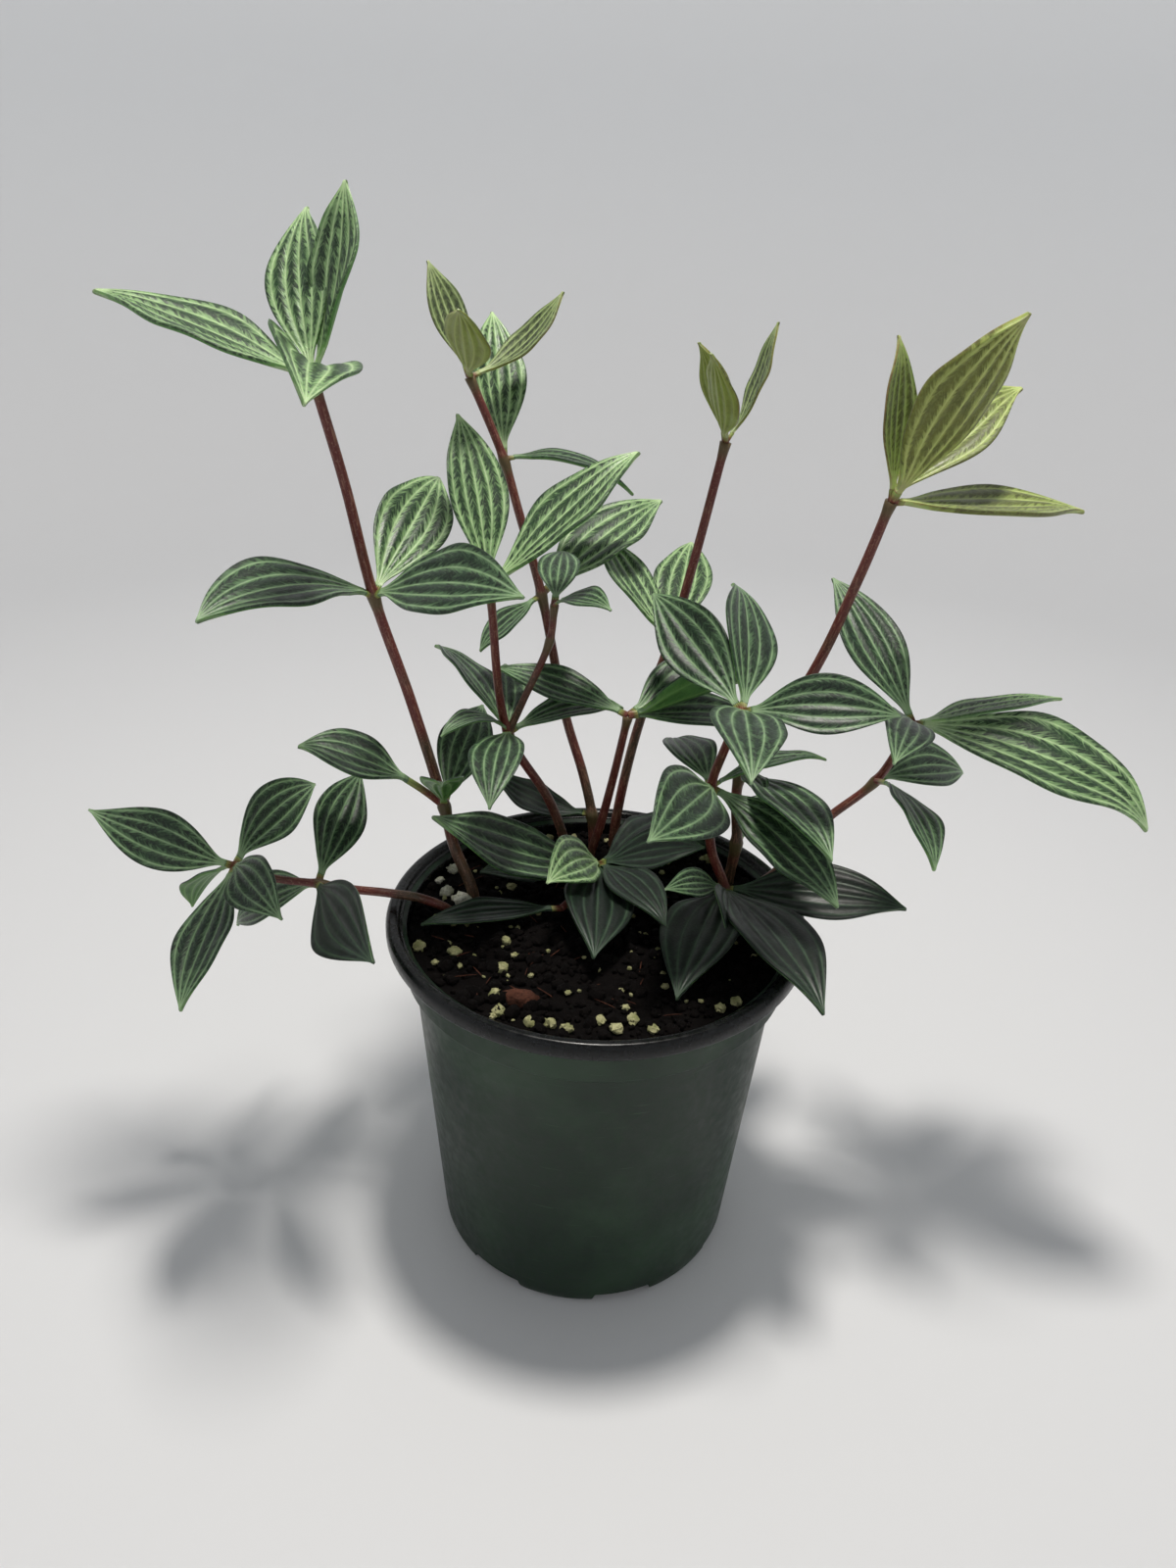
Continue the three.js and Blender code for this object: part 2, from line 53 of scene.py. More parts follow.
MM = 0.001
FULL_TURN = 2 * math.pi
ROOT = "root"
SMOOTH = {"interpolation_type": "SMOOTHSTEP"}
Triple = tuple[float, float, float]
Pair = tuple[float, float]
Material, Mesh, Node, Piece = bpy.types.Material, bpy.types.Mesh, bpy.types.Node, bpy.types.Object
Tree = bpy.types.NodeTree


class Slot(Enum):
    """The record's material slots."""

    POT = "pot_plastic"
    SOIL = "soil"
    MATURE = "mature_leaves"
    YOUNG = "young_leaves"


# ---------------------------------------------------------------- small helpers


def linear(hex_colour: str) -> tuple[float, float, float, float]:
    """Turns an sRGB hex colour to linear.

    Args:
        hex_colour: The colour as "#rrggbb".

    Returns:
        Linear red, green and blue, and an alpha of 1.
    """
    parts = [int(hex_colour[i : i + 2], 16) / 255 for i in (1, 3, 5)]
    r, g, b = (c / 12.92 if c <= 0.04045 else ((c + 0.055) / 1.055) ** 2.4 for c in parts)
    return (r, g, b, 1.0)


def add(tree: Tree, kind: str, inputs: dict | None = None, **settings: object) -> Node:
    """Adds a node to a material.

    Args:
        tree: The material's nodes.
        kind: The node's type name, without "ShaderNode".
        inputs: For each socket, by name or index, a value, or a socket or node that is linked to it.
        settings: The node's own settings.

    Returns:
        The new node.
    """
    node = tree.nodes.new("ShaderNode" + kind)
    for name, value in settings.items():
        setattr(node, name, value)
    for socket, value in (inputs or {}).items():
        if isinstance(value, Node):  # its result, which for mixed colours is the third output
            value = value.outputs[2 if value.bl_idname == "ShaderNodeMix" else 0]
        if isinstance(value, bpy.types.NodeSocket):
            tree.links.new(value, node.inputs[socket])
        else:
            node.inputs[socket].default_value = value
    return node


def alone(piece: Piece) -> None:
    """Selects one object, makes it active and leaves edit mode.

    Args:
        piece: The object.
    """
    if bpy.context.object and bpy.context.object.mode != "OBJECT":
        bpy.ops.object.mode_set(mode="OBJECT")
    bpy.ops.object.select_all(action="DESELECT")
    piece.select_set(True)
    bpy.context.view_layer.objects.active = piece


def start(primitive: Callable, **settings: object) -> Piece:
    """Adds a primitive, with nothing else selected.

    Args:
        primitive: The operator that adds it.
        settings: The operator's settings.

    Returns:
        The new object.
    """
    bpy.ops.object.select_all(action="DESELECT")
    primitive(**settings)
    return bpy.context.object


def settle(piece: Piece) -> None:
    """Puts an object's place, turn and scale into its mesh."""
    alone(piece)
    bpy.ops.object.transform_apply(location=True, rotation=True, scale=True)


def new_object(name: str, data: bpy.types.ID) -> Piece:
    """Makes an object and puts it in the scene.

    Args:
        name: The object's name.
        data: Its mesh, camera or lamp.

    Returns:
        The new object.
    """
    made = bpy.data.objects.new(name, data)
    bpy.context.scene.collection.objects.link(made)
    return made


def apply_modifier(piece: Piece, kind: str, **settings: object) -> None:
    """Adds a modifier to a piece and applies it.

    Args:
        piece: The piece.
        kind: The modifier's type.
        settings: The modifier's settings.
    """
    alone(piece)
    modifier = piece.modifiers.new(kind.title(), kind)
    for name, value in settings.items():
        setattr(modifier, name, value)
    bpy.ops.object.modifier_apply(modifier=modifier.name)


def pick(piece: Piece, wanted: Iterable[int]) -> None:
    """Selects vertices of a piece that is in edit mode, and nothing else.

    Args:
        piece: The piece.
        wanted: The vertices' indexes.
    """
    shape = bmesh.from_edit_mesh(piece.data)
    shape.verts.ensure_lookup_table()
    for vertex in shape.verts:
        vertex.select = False
    for index in wanted:
        shape.verts[index].select = True
    shape.select_flush(True)
    shape.select_flush(False)
    bmesh.update_edit_mesh(piece.data)


def face_outwards(piece: Piece, merge: bool = False) -> None:
    """Turns all faces of a piece outwards and leaves edit mode.

    Args:
        piece: The piece.
        merge: Whether vertices in one place become one first.
    """
    alone(piece)
    bpy.ops.object.mode_set(mode="EDIT")
    bpy.ops.mesh.select_all(action="SELECT")
    if merge:
        bpy.ops.mesh.remove_doubles(threshold=1e-6)
    bpy.ops.mesh.normals_make_consistent(inside=False)
    bpy.ops.object.mode_set(mode="OBJECT")


def draw_rings(rings: list[Pair], sides: int, unit: float = MM) -> Piece:
    """Draws a round shape from a disc, ring by ring, and stays in edit mode.

    Args:
        rings: The radius and height of the disc and of each next ring.
        sides: Corners in a ring.
        unit: The rings' unit in metres.

    Returns:
        The new object.
    """
    radius, height = rings[0]
    place = (0, 0, height * unit)
    circle = bpy.ops.mesh.primitive_circle_add
    settle(start(circle, vertices=sides, radius=radius * unit, fill_type="NGON", location=place))
    bpy.ops.object.mode_set(mode="EDIT")
    bpy.ops.mesh.select_all(action="SELECT")
    for next_radius, next_height in rings[1:]:
        grow = next_radius / radius
        bpy.ops.mesh.extrude_region_move(TRANSFORM_OT_translate={"value": (0, 0, (next_height - height) * unit)})
        bpy.ops.transform.resize(value=(grow, grow, 1), center_override=(0, 0, next_height * unit))
        radius, height = next_radius, next_height
    return bpy.context.object


def places_of(mesh: Mesh) -> np.ndarray:
    """Reads the places of a mesh's vertices.

    Args:
        mesh: The mesh.

    Returns:
        A row of x, y and z for each vertex.
    """
    flat = np.empty(len(mesh.vertices) * 3, np.float64)
    mesh.vertices.foreach_get("co", flat)
    return flat.reshape(-1, 3)


def put(mesh: Mesh, places: np.ndarray) -> None:
    """Writes the places of a mesh's vertices."""
    mesh.vertices.foreach_set("co", places.astype(np.float32).ravel())
    mesh.update()


def record_on(mesh: Mesh, **values: np.ndarray) -> None:
    """Keeps numbers or vectors for each vertex of a mesh, for its material to read.

    Args:
        mesh: The mesh.
        values: For each attribute, by its name, one number or one row of three for each vertex.
    """
    for name, column in values.items():
        kind, key = ("FLOAT_VECTOR", "vector") if column.ndim == 2 else ("FLOAT", "value")
        attribute = mesh.attributes.new(name, kind, "POINT")
        attribute.data.foreach_set(key, column.astype(np.float32).ravel())


def join(pieces: list[Piece], name: str) -> Piece:
    """Joins objects into the first of them.

    Args:
        pieces: The objects.
        name: The joined piece's name.

    Returns:
        The joined piece.
    """
    alone(pieces[0])
    for other in pieces[1:]:
        other.select_set(True)
    bpy.ops.object.join()
    joined = bpy.context.view_layer.objects.active
    joined.name = joined.data.name = name
    return joined


def hand_over(piece: Piece, node: str) -> None:
    """Lets a finished piece stand for its solid in the frame.

    Args:
        piece: The piece, at the origin.
        node: The solid that it stands for.
    """
    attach(piece, ROOT)
    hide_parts(node)
    piece.data.calc_loop_triangles()
    log.info("%s: %d triangles for %s", piece.name, len(piece.data.loop_triangles), node)


# ---------------------------------------------------------------- finishes


@dataclass(frozen=True)
class Finish:
    """What a surface is made of. Each kind of finish lays its own look."""

    name: str

    def look(self, tree: Tree) -> dict:
        """Lays the pattern and gives the shader's values and links by socket."""
        raise NotImplementedError

    def coated(self, tree: Tree, base: str, *coats: tuple[Node, str]) -> Node:
        """Lays coats of colour over a base, one after the other.

        Args:
            tree: The material's nodes.
            base: The base's colour.
            coats: How far each coat covers what is below, and its colour.

        Returns:
            The node that gives the finished colour.
        """
        colour = linear(base)
        for cover, coat in coats:
            colour = add(tree, "Mix", {0: cover, 6: colour, 7: linear(coat)}, data_type="RGBA")
        return colour

    def make(self) -> Material:
        """Builds the material from its look.

        Returns:
            The material.
        """
        material = bpy.data.materials.new(self.name)
        material.use_nodes = True
        tree = material.node_tree
        tree.nodes.clear()
        shader = add(tree, "BsdfPrincipled", self.look(tree))
        add(tree, "OutputMaterial", {"Surface": shader})
        return material


@dataclass(frozen=True)
class BladeSkin(Finish):
    """Leaf skin: a waxy fleshy blade, dark between sunken pale veins.

    It gives the eye a satin grey sheen on the dark bands, pale stripes whose ragged teeth lean towards the tip, and
    a thin pale rim. All patterns are worked out for a blade 18 mm wide, and are a little finer on a narrower one.
    """

    band: str
    deep_band: str
    stripe: str
    vein: str
    rim: str
    stripe_share: float = 0.85
    veinlet_share: float = 0.5
    roughness: float = 0.38
    tooth_length: float = 1.1  # mm along the blade
    short_tooth: float = 0.34  # mm from a vein to the end of its shortest teeth
    long_tooth: float = 1.5  # mm from a vein to the end of its longest teeth
    lean: float = 1.3  # how far a tooth moves towards the tip for its reach
    veinlet_gap: float = 2.6  # mm
    veinlet_lean: float = 1.9
    glow: float = 0.15  # share of the light that spreads inside the blade

    def _leaning(self, tree: Tree, lean: float, scale: Triple, detail: float) -> Node:
        """Adds an uneven pattern whose threads start on the veins and lean towards the tip.

        Args:
            tree: The material's nodes.
            lean: How far a thread moves along the blade for each millimetre away from its vein.
            scale: Threads per millimetre along the blade, changes per millimetre across it, and through it.
            detail: The pattern's finer steps.

        Returns:
            The node of a value around one half.
        """
        grown = add(tree, "Attribute", attribute_name="grown").outputs["Vector"]
        vein = add(tree, "Attribute", attribute_name="vein").outputs["Fac"]
        along, across, through = add(tree, "SeparateXYZ", {0: grown}).outputs
        root = add(tree, "Math", {0: vein, 1: -lean, 2: along}, operation="MULTIPLY_ADD")
        leaning = add(tree, "CombineXYZ", {0: root, 1: across, 2: through})
        scaled = add(tree, "Mapping", {"Vector": leaning, "Scale": scale})
        return add(tree, "TexNoise", {"Vector": scaled, "Scale": 1.0, "Detail": detail, "Roughness": 0.6})

    def look(self, tree: Tree) -> dict:
        """Lays bands, stripes, veinlets and rim by the attributes grown, vein, margin and share.

        Args:
            tree: The material's nodes.

        Returns:
            The shader's values and links by socket.
        """
        grown = add(tree, "Attribute", attribute_name="grown").outputs["Vector"]
        vein, margin, share = (
            add(tree, "Attribute", attribute_name=name).outputs["Fac"] for name in ("vein", "margin", "share")
        )
        # Cells of 0.6 mm in the skin, and clouds of 4 mm.
        grain = add(tree, "TexNoise", {"Vector": grown, "Scale": 1.6, "Detail": 3.0, "Roughness": 0.65})
        cloud = add(tree, "TexNoise", {"Vector": grown, "Scale": 0.25, "Detail": 3.0, "Roughness": 0.6})
        cloudy = add(tree, "MapRange", {0: cloud, 1: 0.35, 2: 0.65})
        grainy = add(tree, "MapRange", {0: grain, 1: 0.45, 2: 0.72, 3: 0.0, 4: 0.2})
        # Teeth along the stripes, and a paler thread in their middle.
        teeth = self._leaning(tree, self.lean, (1 / self.tooth_length, 0.3, 0.0), 2.5)
        reach = add(tree, "MapRange", {0: teeth, 1: 0.38, 2: 0.66, 3: self.short_tooth, 4: self.long_tooth})
        nearness = add(tree, "Math", {0: vein, 1: reach}, operation="DIVIDE")
        halo = add(tree, "MapRange", {0: nearness, 1: 0.35, 2: 1.05, 3: self.stripe_share, 4: 0.0}, **SMOOTH)
        worn = add(tree, "MapRange", {0: grain, 1: 0.3, 2: 0.62, 3: 1.0, 4: 0.68})
        faint = add(tree, "MapRange", {0: cloud, 1: 0.36, 2: 0.58, 3: 0.6, 4: 1.0})
        patchy = add(tree, "Math", {0: worn, 1: faint}, operation="MULTIPLY")
        stripe = add(tree, "Math", {0: halo, 1: patchy}, operation="MULTIPLY")
        thin = add(tree, "MapRange", {0: vein, 1: 0.04, 2: 0.36, 3: 0.6, 4: 0.0}, **SMOOTH)
        core = add(tree, "Math", {0: thin, 1: faint}, operation="MULTIPLY")
        # Long thin veinlets that fade out on the bands.
        thread = self._leaning(tree, self.veinlet_lean, (1 / self.veinlet_gap, 0.16, 0.0), 1.5)
        centred = add(tree, "Math", {0: thread, 1: 0.5}, operation="SUBTRACT")
        off = add(tree, "Math", {0: centred}, operation="ABSOLUTE")
        line = add(tree, "MapRange", {0: off, 1: 0.0, 2: 0.03, 3: 1.0, 4: 0.0}, **SMOOTH)
        fade = add(tree, "MapRange", {0: vein, 1: 0.5, 2: 2.4, 3: self.veinlet_share, 4: 0.06})
        veinlet = add(tree, "Math", {0: line, 1: fade}, operation="MULTIPLY")
        # The rim, and both ends of the blade.
        hem = add(tree, "MapRange", {0: margin, 1: 0.05, 2: 0.4, 3: 0.7, 4: 0.0}, **SMOOTH)
        foot = add(tree, "MapRange", {0: share, 1: 0.01, 2: 0.09, 3: 0.55, 4: 0.0})
        point = add(tree, "MapRange", {0: share, 1: 0.93, 2: 1.0, 3: 0.0, 4: 0.7})
        ends = add(tree, "Math", {0: foot, 1: point}, operation="MAXIMUM")
        relief = add(tree, "Math", {0: grain, 1: veinlet}, operation="SUBTRACT")
        rough = self.roughness
        return {
            "Base Color": self.coated(
                tree, self.band, (cloudy, self.deep_band), (grainy, self.stripe), (veinlet, self.stripe),
                (stripe, self.stripe), (core, self.vein), (hem, self.rim), (ends, self.vein),
            ),
            "Roughness": add(tree, "MapRange", {0: cloud, 1: 0.3, 2: 0.7, 3: rough - 0.05, 4: rough + 0.09}),
            "Normal": add(tree, "Bump", {"Height": relief, "Strength": 0.35, "Distance": 0.25 * MM}),
            "IOR": 1.45,
            "Coat Weight": 0.1,
            "Coat Roughness": 0.3,
            "Specular IOR Level": 0.4,
            "Subsurface Weight": self.glow,
            "Subsurface Radius": (0.9 * MM, 1.6 * MM, 0.4 * MM),
            "Subsurface Scale": 1.0,
        }  # fmt: skip


@dataclass(frozen=True)
class StalkSkin(Finish):
    """Stem skin: smooth fleshy bark.

    It gives the eye a dull satin red-brown with fine paler streaks and flecks along it, greener near the soil and
    under the joints.
    """

    top: str
    foot: str
    streak: str
    joint: str
    turn_from: float = 0.1  # the share of the way up where the foot's colour begins to turn
    turn_to: float = 0.6  # and where it has turned
    drift: float = 0.4  # how far patches move that turn

    def look(self, tree: Tree) -> dict:
        """Lays streaks, specks and joints by the attributes grown, margin, which is 1 on a joint, and share.

        Args:
            tree: The material's nodes.

        Returns:
            The shader's values and links by socket.
        """
        grown = add(tree, "Attribute", attribute_name="grown").outputs["Vector"]
        knot, share = (add(tree, "Attribute", attribute_name=name).outputs["Fac"] for name in ("margin", "share"))
        # Streaks of 0.45 mm across by 4 mm along, cork specks of 0.5 mm, and patches of 12 mm.
        drawn = add(tree, "Mapping", {"Vector": grown, "Scale": (1 / 4.0, 1 / 0.45, 1 / 0.45)})
        fibre = add(tree, "TexNoise", {"Vector": drawn, "Scale": 1.0, "Detail": 3.0})
        streaky = add(tree, "MapRange", {0: fibre, 1: 0.52, 2: 0.72, 3: 0.0, 4: 0.6})
        speck = add(tree, "TexNoise", {"Vector": grown, "Scale": 1.8, "Detail": 2.0})
        specked = add(tree, "MapRange", {0: speck, 1: 0.56, 2: 0.68, 3: 0.0, 4: 0.4})
        patch = add(tree, "TexNoise", {"Vector": grown, "Scale": 0.08, "Detail": 2.0})
        drift = add(tree, "MapRange", {0: patch, 1: 0.35, 2: 0.65, 3: -self.drift, 4: self.drift})
        reach = add(tree, "Math", {0: share, 1: drift}, operation="ADD")
        climb = add(tree, "MapRange", {0: reach, 1: self.turn_from, 2: self.turn_to})
        ringed = add(tree, "MapRange", {0: knot, 1: 0.2, 2: 0.9, 3: 0.0, 4: 0.75}, **SMOOTH)
        return {
            "Base Color": self.coated(
                tree, self.foot, (climb, self.top), (streaky, self.streak), (specked, self.streak),
                (ringed, self.joint),
            ),
            "Roughness": 0.45,
            "Normal": add(tree, "Bump", {"Height": fibre, "Strength": 0.35, "Distance": 0.15 * MM}),
            "IOR": 1.45,
            "Coat Weight": 0.1,
            "Coat Roughness": 0.3,
        }  # fmt: skip


@dataclass(frozen=True)
class PotPlastic(Finish):
    """Moulded polypropylene, black inside and on the rim, and green and cloudy with handling on the wall.

    It gives the eye a dull satin face with faint smears and dust, and fine scuffs.
    """

    body: str
    cloud: str
    scuff: str
    cloud_share: float
    roughness: float

    def look(self, tree: Tree) -> dict:
        """Lays smears, spots and scuffs on Object coordinates.

        Args:
            tree: The material's nodes.

        Returns:
            The shader's values and links by socket.
        """
        where = add(tree, "TexCoord").outputs["Object"]
        # Smears of 45 mm, dull spots of 3 mm, scuffs of 12 mm by 0.5 mm, and an orange-peel face of 2 mm.
        smear = add(tree, "TexNoise", {"Vector": where, "Scale": 22.0, "Detail": 4.0, "Roughness": 0.55})
        cloudy = add(tree, "MapRange", {0: smear, 1: 0.45, 2: 0.72, 3: 0.0, 4: self.cloud_share}, **SMOOTH)
        spot = add(tree, "TexNoise", {"Vector": where, "Scale": 330.0, "Detail": 3.0})
        spotty = add(tree, "MapRange", {0: spot, 1: 0.4, 2: 0.7, 3: 0.0, 4: 0.14})
        drawn = add(tree, "Mapping", {"Vector": where, "Scale": (85.0, 85.0, 1600.0), "Rotation": (0.25, 0.1, 0)})
        scratch = add(tree, "TexNoise", {"Vector": drawn, "Scale": 1.0, "Detail": 1.0})
        scuffed = add(tree, "MapRange", {0: scratch, 1: 0.72, 2: 0.8, 3: 0.0, 4: 0.35})
        peel = add(tree, "TexNoise", {"Vector": where, "Scale": 500.0, "Detail": 3.0})
        rough = self.roughness
        return {
            "Base Color": self.coated(
                tree, self.body, (cloudy, self.cloud), (spotty, self.cloud), (scuffed, self.scuff)
            ),
            "Roughness": add(tree, "MapRange", {0: spot, 1: 0.3, 2: 0.7, 3: rough, 4: rough + 0.15}),
            "Normal": add(tree, "Bump", {"Height": peel, "Strength": 0.3, "Distance": 0.12 * MM}),
            "IOR": 1.49,
            "Specular IOR Level": 0.32,
        }


@dataclass(frozen=True)
class EarthFinish(Finish):
    """Loose grains: peat, perlite or bark.

    It gives the eye a dry, matt, pitted face whose grains differ in tone, and painted shade darkens its pits.
    """

    light: str
    dark: str
    # the colour of the painted shade in the pits
    hollow_shade: str
    grain: float  # mm
    relief: float  # mm
    roughness: float = 0.95

    def look(self, tree: Tree) -> dict:
        """Lays tones, and painted shade in the pits, on Object coordinates.

        Args:
            tree: The material's nodes.

        Returns:
            The shader's values and links by socket.
        """
        where = add(tree, "TexCoord").outputs["Object"]
        tone = add(tree, "TexNoise", {"Vector": where, "Scale": 1000 / (self.grain * 6), "Detail": 3.0})
        toned = add(tree, "MapRange", {0: tone, 1: 0.35, 2: 0.65})
        pore = add(tree, "TexNoise", {"Vector": where, "Scale": 1000 / self.grain, "Detail": 4.0, "Roughness": 0.7})
        # Painted shade: the low places of the bump, its pits, take the darker pit colour.
        hollow_shading = add(tree, "MapRange", {0: pore, 1: 0.5, 2: 0.3, 3: 0.0, 4: 0.85})
        return {
            "Base Color": self.coated(tree, self.dark, (toned, self.light), (hollow_shading, self.hollow_shade)),
            "Roughness": self.roughness,
            "Normal": add(tree, "Bump", {"Height": pore, "Strength": 0.9, "Distance": self.relief * MM}),
            "IOR": 1.5,
            "Specular IOR Level": 0.12,
        }


@dataclass(frozen=True)
class PaintedBoard(Finish):
    """Matt paint on board. It gives the eye a plain pale face, a little greyer up the wall, where the grey is painted
    shade.
    """

    floor: str
    wall: str
    bend: float  # metres

    def look(self, tree: Tree) -> dict:
        """Blends the floor's paint into the wall's greyer colour, which is painted shade, by the height in Object
        coordinates.

        Args:
            tree: The material's nodes.

        Returns:
            The shader's values and links by socket.
        """
        where = add(tree, "TexCoord").outputs["Object"]
        height = add(tree, "SeparateXYZ", {0: where}).outputs[2]
        # Painted shade: the colour turns greyer from the floor up the wall.
        rise = add(tree, "MapRange", {0: height, 1: 0.0, 2: self.bend}, **SMOOTH)
        return {"Base Color": self.coated(tree, self.floor, (rise, self.wall)), "Roughness": 0.6}


class LeafAge(Enum):
    """How far a leaf has grown, which gives it its two skins."""

    MATURE = "mature"
    BRIGHT = "bright"
    OLD = "old"
    YOUNG = "young"
    TENDER = "tender"


MATURE, BRIGHT, OLD, YOUNG, TENDER = LeafAge

UPPER_SKINS = {
    MATURE: BladeSkin("mature_leaf_top", "#16291b", "#0e1912", "#64865d", "#98b489", "#44604a", 0.7),
    BRIGHT: BladeSkin(
        "bright_leaf_top", "#203a22", "#142618", "#8db078", "#c0d8a6", "#6b8c5e", 0.9, 0.8, long_tooth=1.7
    ),
    OLD: BladeSkin(
        "old_leaf_top", "#101a14", "#0b110e", "#2d4232", "#425742", "#344a39", 0.6, 0.2, 0.42, long_tooth=1.2
    ),
    YOUNG: BladeSkin(
        "young_leaf_top", "#60663a", "#4c5128", "#9cae62", "#c6d48e", "#7a5038", 0.9, 0.6, 0.4,
        long_tooth=1.7, glow=0.3,
    ),
    # The tender top's dark bands are partly its own olive and partly painted shade, darkened against the sheen that
    # these tilted blades catch.
    TENDER: BladeSkin(
        "tender_leaf_top", "#303b24", "#242c1a", "#869960", "#b6c592", "#74723f", 0.85, 0.5, 0.4, long_tooth=1.7
    ),
}  # fmt: skip
LOWER_SKINS = {
    MATURE: BladeSkin("mature_leaf_underside", "#4c7a3c", "#3d6830", "#6f9c54", "#8cb46c", "#7c9c5c", 0.45, 0.2, 0.5),
    BRIGHT: BladeSkin("bright_leaf_underside", "#548644", "#437338", "#7aa85c", "#98c078", "#88ac68", 0.45, 0.2, 0.5),
    OLD: BladeSkin("old_leaf_underside", "#4c6a44", "#3f5a39", "#6c8a5c", "#88a078", "#6c8a5c", 0.45, 0.15, 0.55),
    # The young underside is painted lighter than its own yellow-green: painted light for the lamp's light shining
    # through the thin blade.
    YOUNG: BladeSkin(
        "young_leaf_underside", "#6e732f", "#5c6129", "#b0bc68", "#c6d082", "#7a4a30", 0.85, 0.25, 0.45, glow=0.4
    ),
    # The tender underside is painted lighter than its own yellow-green: painted light for the lamp's light shining
    # through the thin blade.
    TENDER: BladeSkin(
        "tender_leaf_underside", "#869240", "#777f38", "#98a350", "#a8b160", "#8a6a3e", 0.45, 0.15, 0.45, glow=0.3
    ),
}
STEM_SKIN = StalkSkin("stem_skin", "#5e241f", "#463626", "#a07660", "#56502f")
PETIOLE_SKIN = StalkSkin("leaf_stalk_skin", "#8ea858", "#6a2a22", "#a08a5a", "#6a2a22", 0.3, 0.95, 0.12)


class PlantFinishes:
    """The plant's materials, each made once."""

    def __init__(self) -> None:
        """Makes them."""
        self.upper = {age: skin.make() for age, skin in UPPER_SKINS.items()}
        self.lower = {age: skin.make() for age, skin in LOWER_SKINS.items()}
        self.stem = STEM_SKIN.make()
        self.petiole = PETIOLE_SKIN.make()

    def of_leaf(self, age: LeafAge) -> list[Material]:
        """Gives a leaf's materials: its upper skin, its underside and its stalk."""
        return [self.upper[age], self.lower[age], self.petiole]


# ---------------------------------------------------------------- leaves


@dataclass(frozen=True)
class Leaf:
    """One leaf, in millimetres and degrees.

    It leaves the stem at its rise, and arches down by its droop on the way to the tip. The roll turns the blade
    about its midline, left edge up, and the cup lifts both edges by a share of half its width.
    """

    heading: float
    rise: float
    length: float
    width: float
    droop: float = 15
    roll: float = 0
    petiole: float = 3
    turn: float = 0
    hook: float = 0  # how far the last quarter bends down further
    cup: float = 0.2
    age: LeafAge | None = None

    WALK_STEPS = 40

    def midline(self, base: Triple) -> tuple[np.ndarray, np.ndarray, np.ndarray, np.ndarray]:
        """Walks along the leaf from its root to its tip.

        Args:
            base: The root, in millimetres.

        Returns:
            The distances walked in millimetres, the places, and the directions to the left edge and up the face.
        """
        total = self.petiole + self.length
        place = np.array(base, float)
        distances, places, lefts, faces = [], [], [], []
        for step in range(self.WALK_STEPS + 1):
            share = step / self.WALK_STEPS
            curl = self.hook * max(0.0, share * 4 - 3)
            pitch = math.radians(self.rise - self.droop * share - curl)
            course = math.radians(self.heading + self.turn * share)
            flat = math.cos(pitch)
            ahead = Vector((flat * math.cos(course), flat * math.sin(course), math.sin(pitch)))
            left = Vector((0, 0, 1)).cross(ahead).normalized()
            bank = Matrix.Rotation(math.radians(self.roll), 3, ahead)
            distances.append(total * share)
            places.append(place.copy())
            lefts.append(bank @ left)
            faces.append(bank @ ahead.cross(left))
            place += np.array(ahead) * total / self.WALK_STEPS
        return np.array(distances), np.array(places), np.array(lefts), np.array(faces)


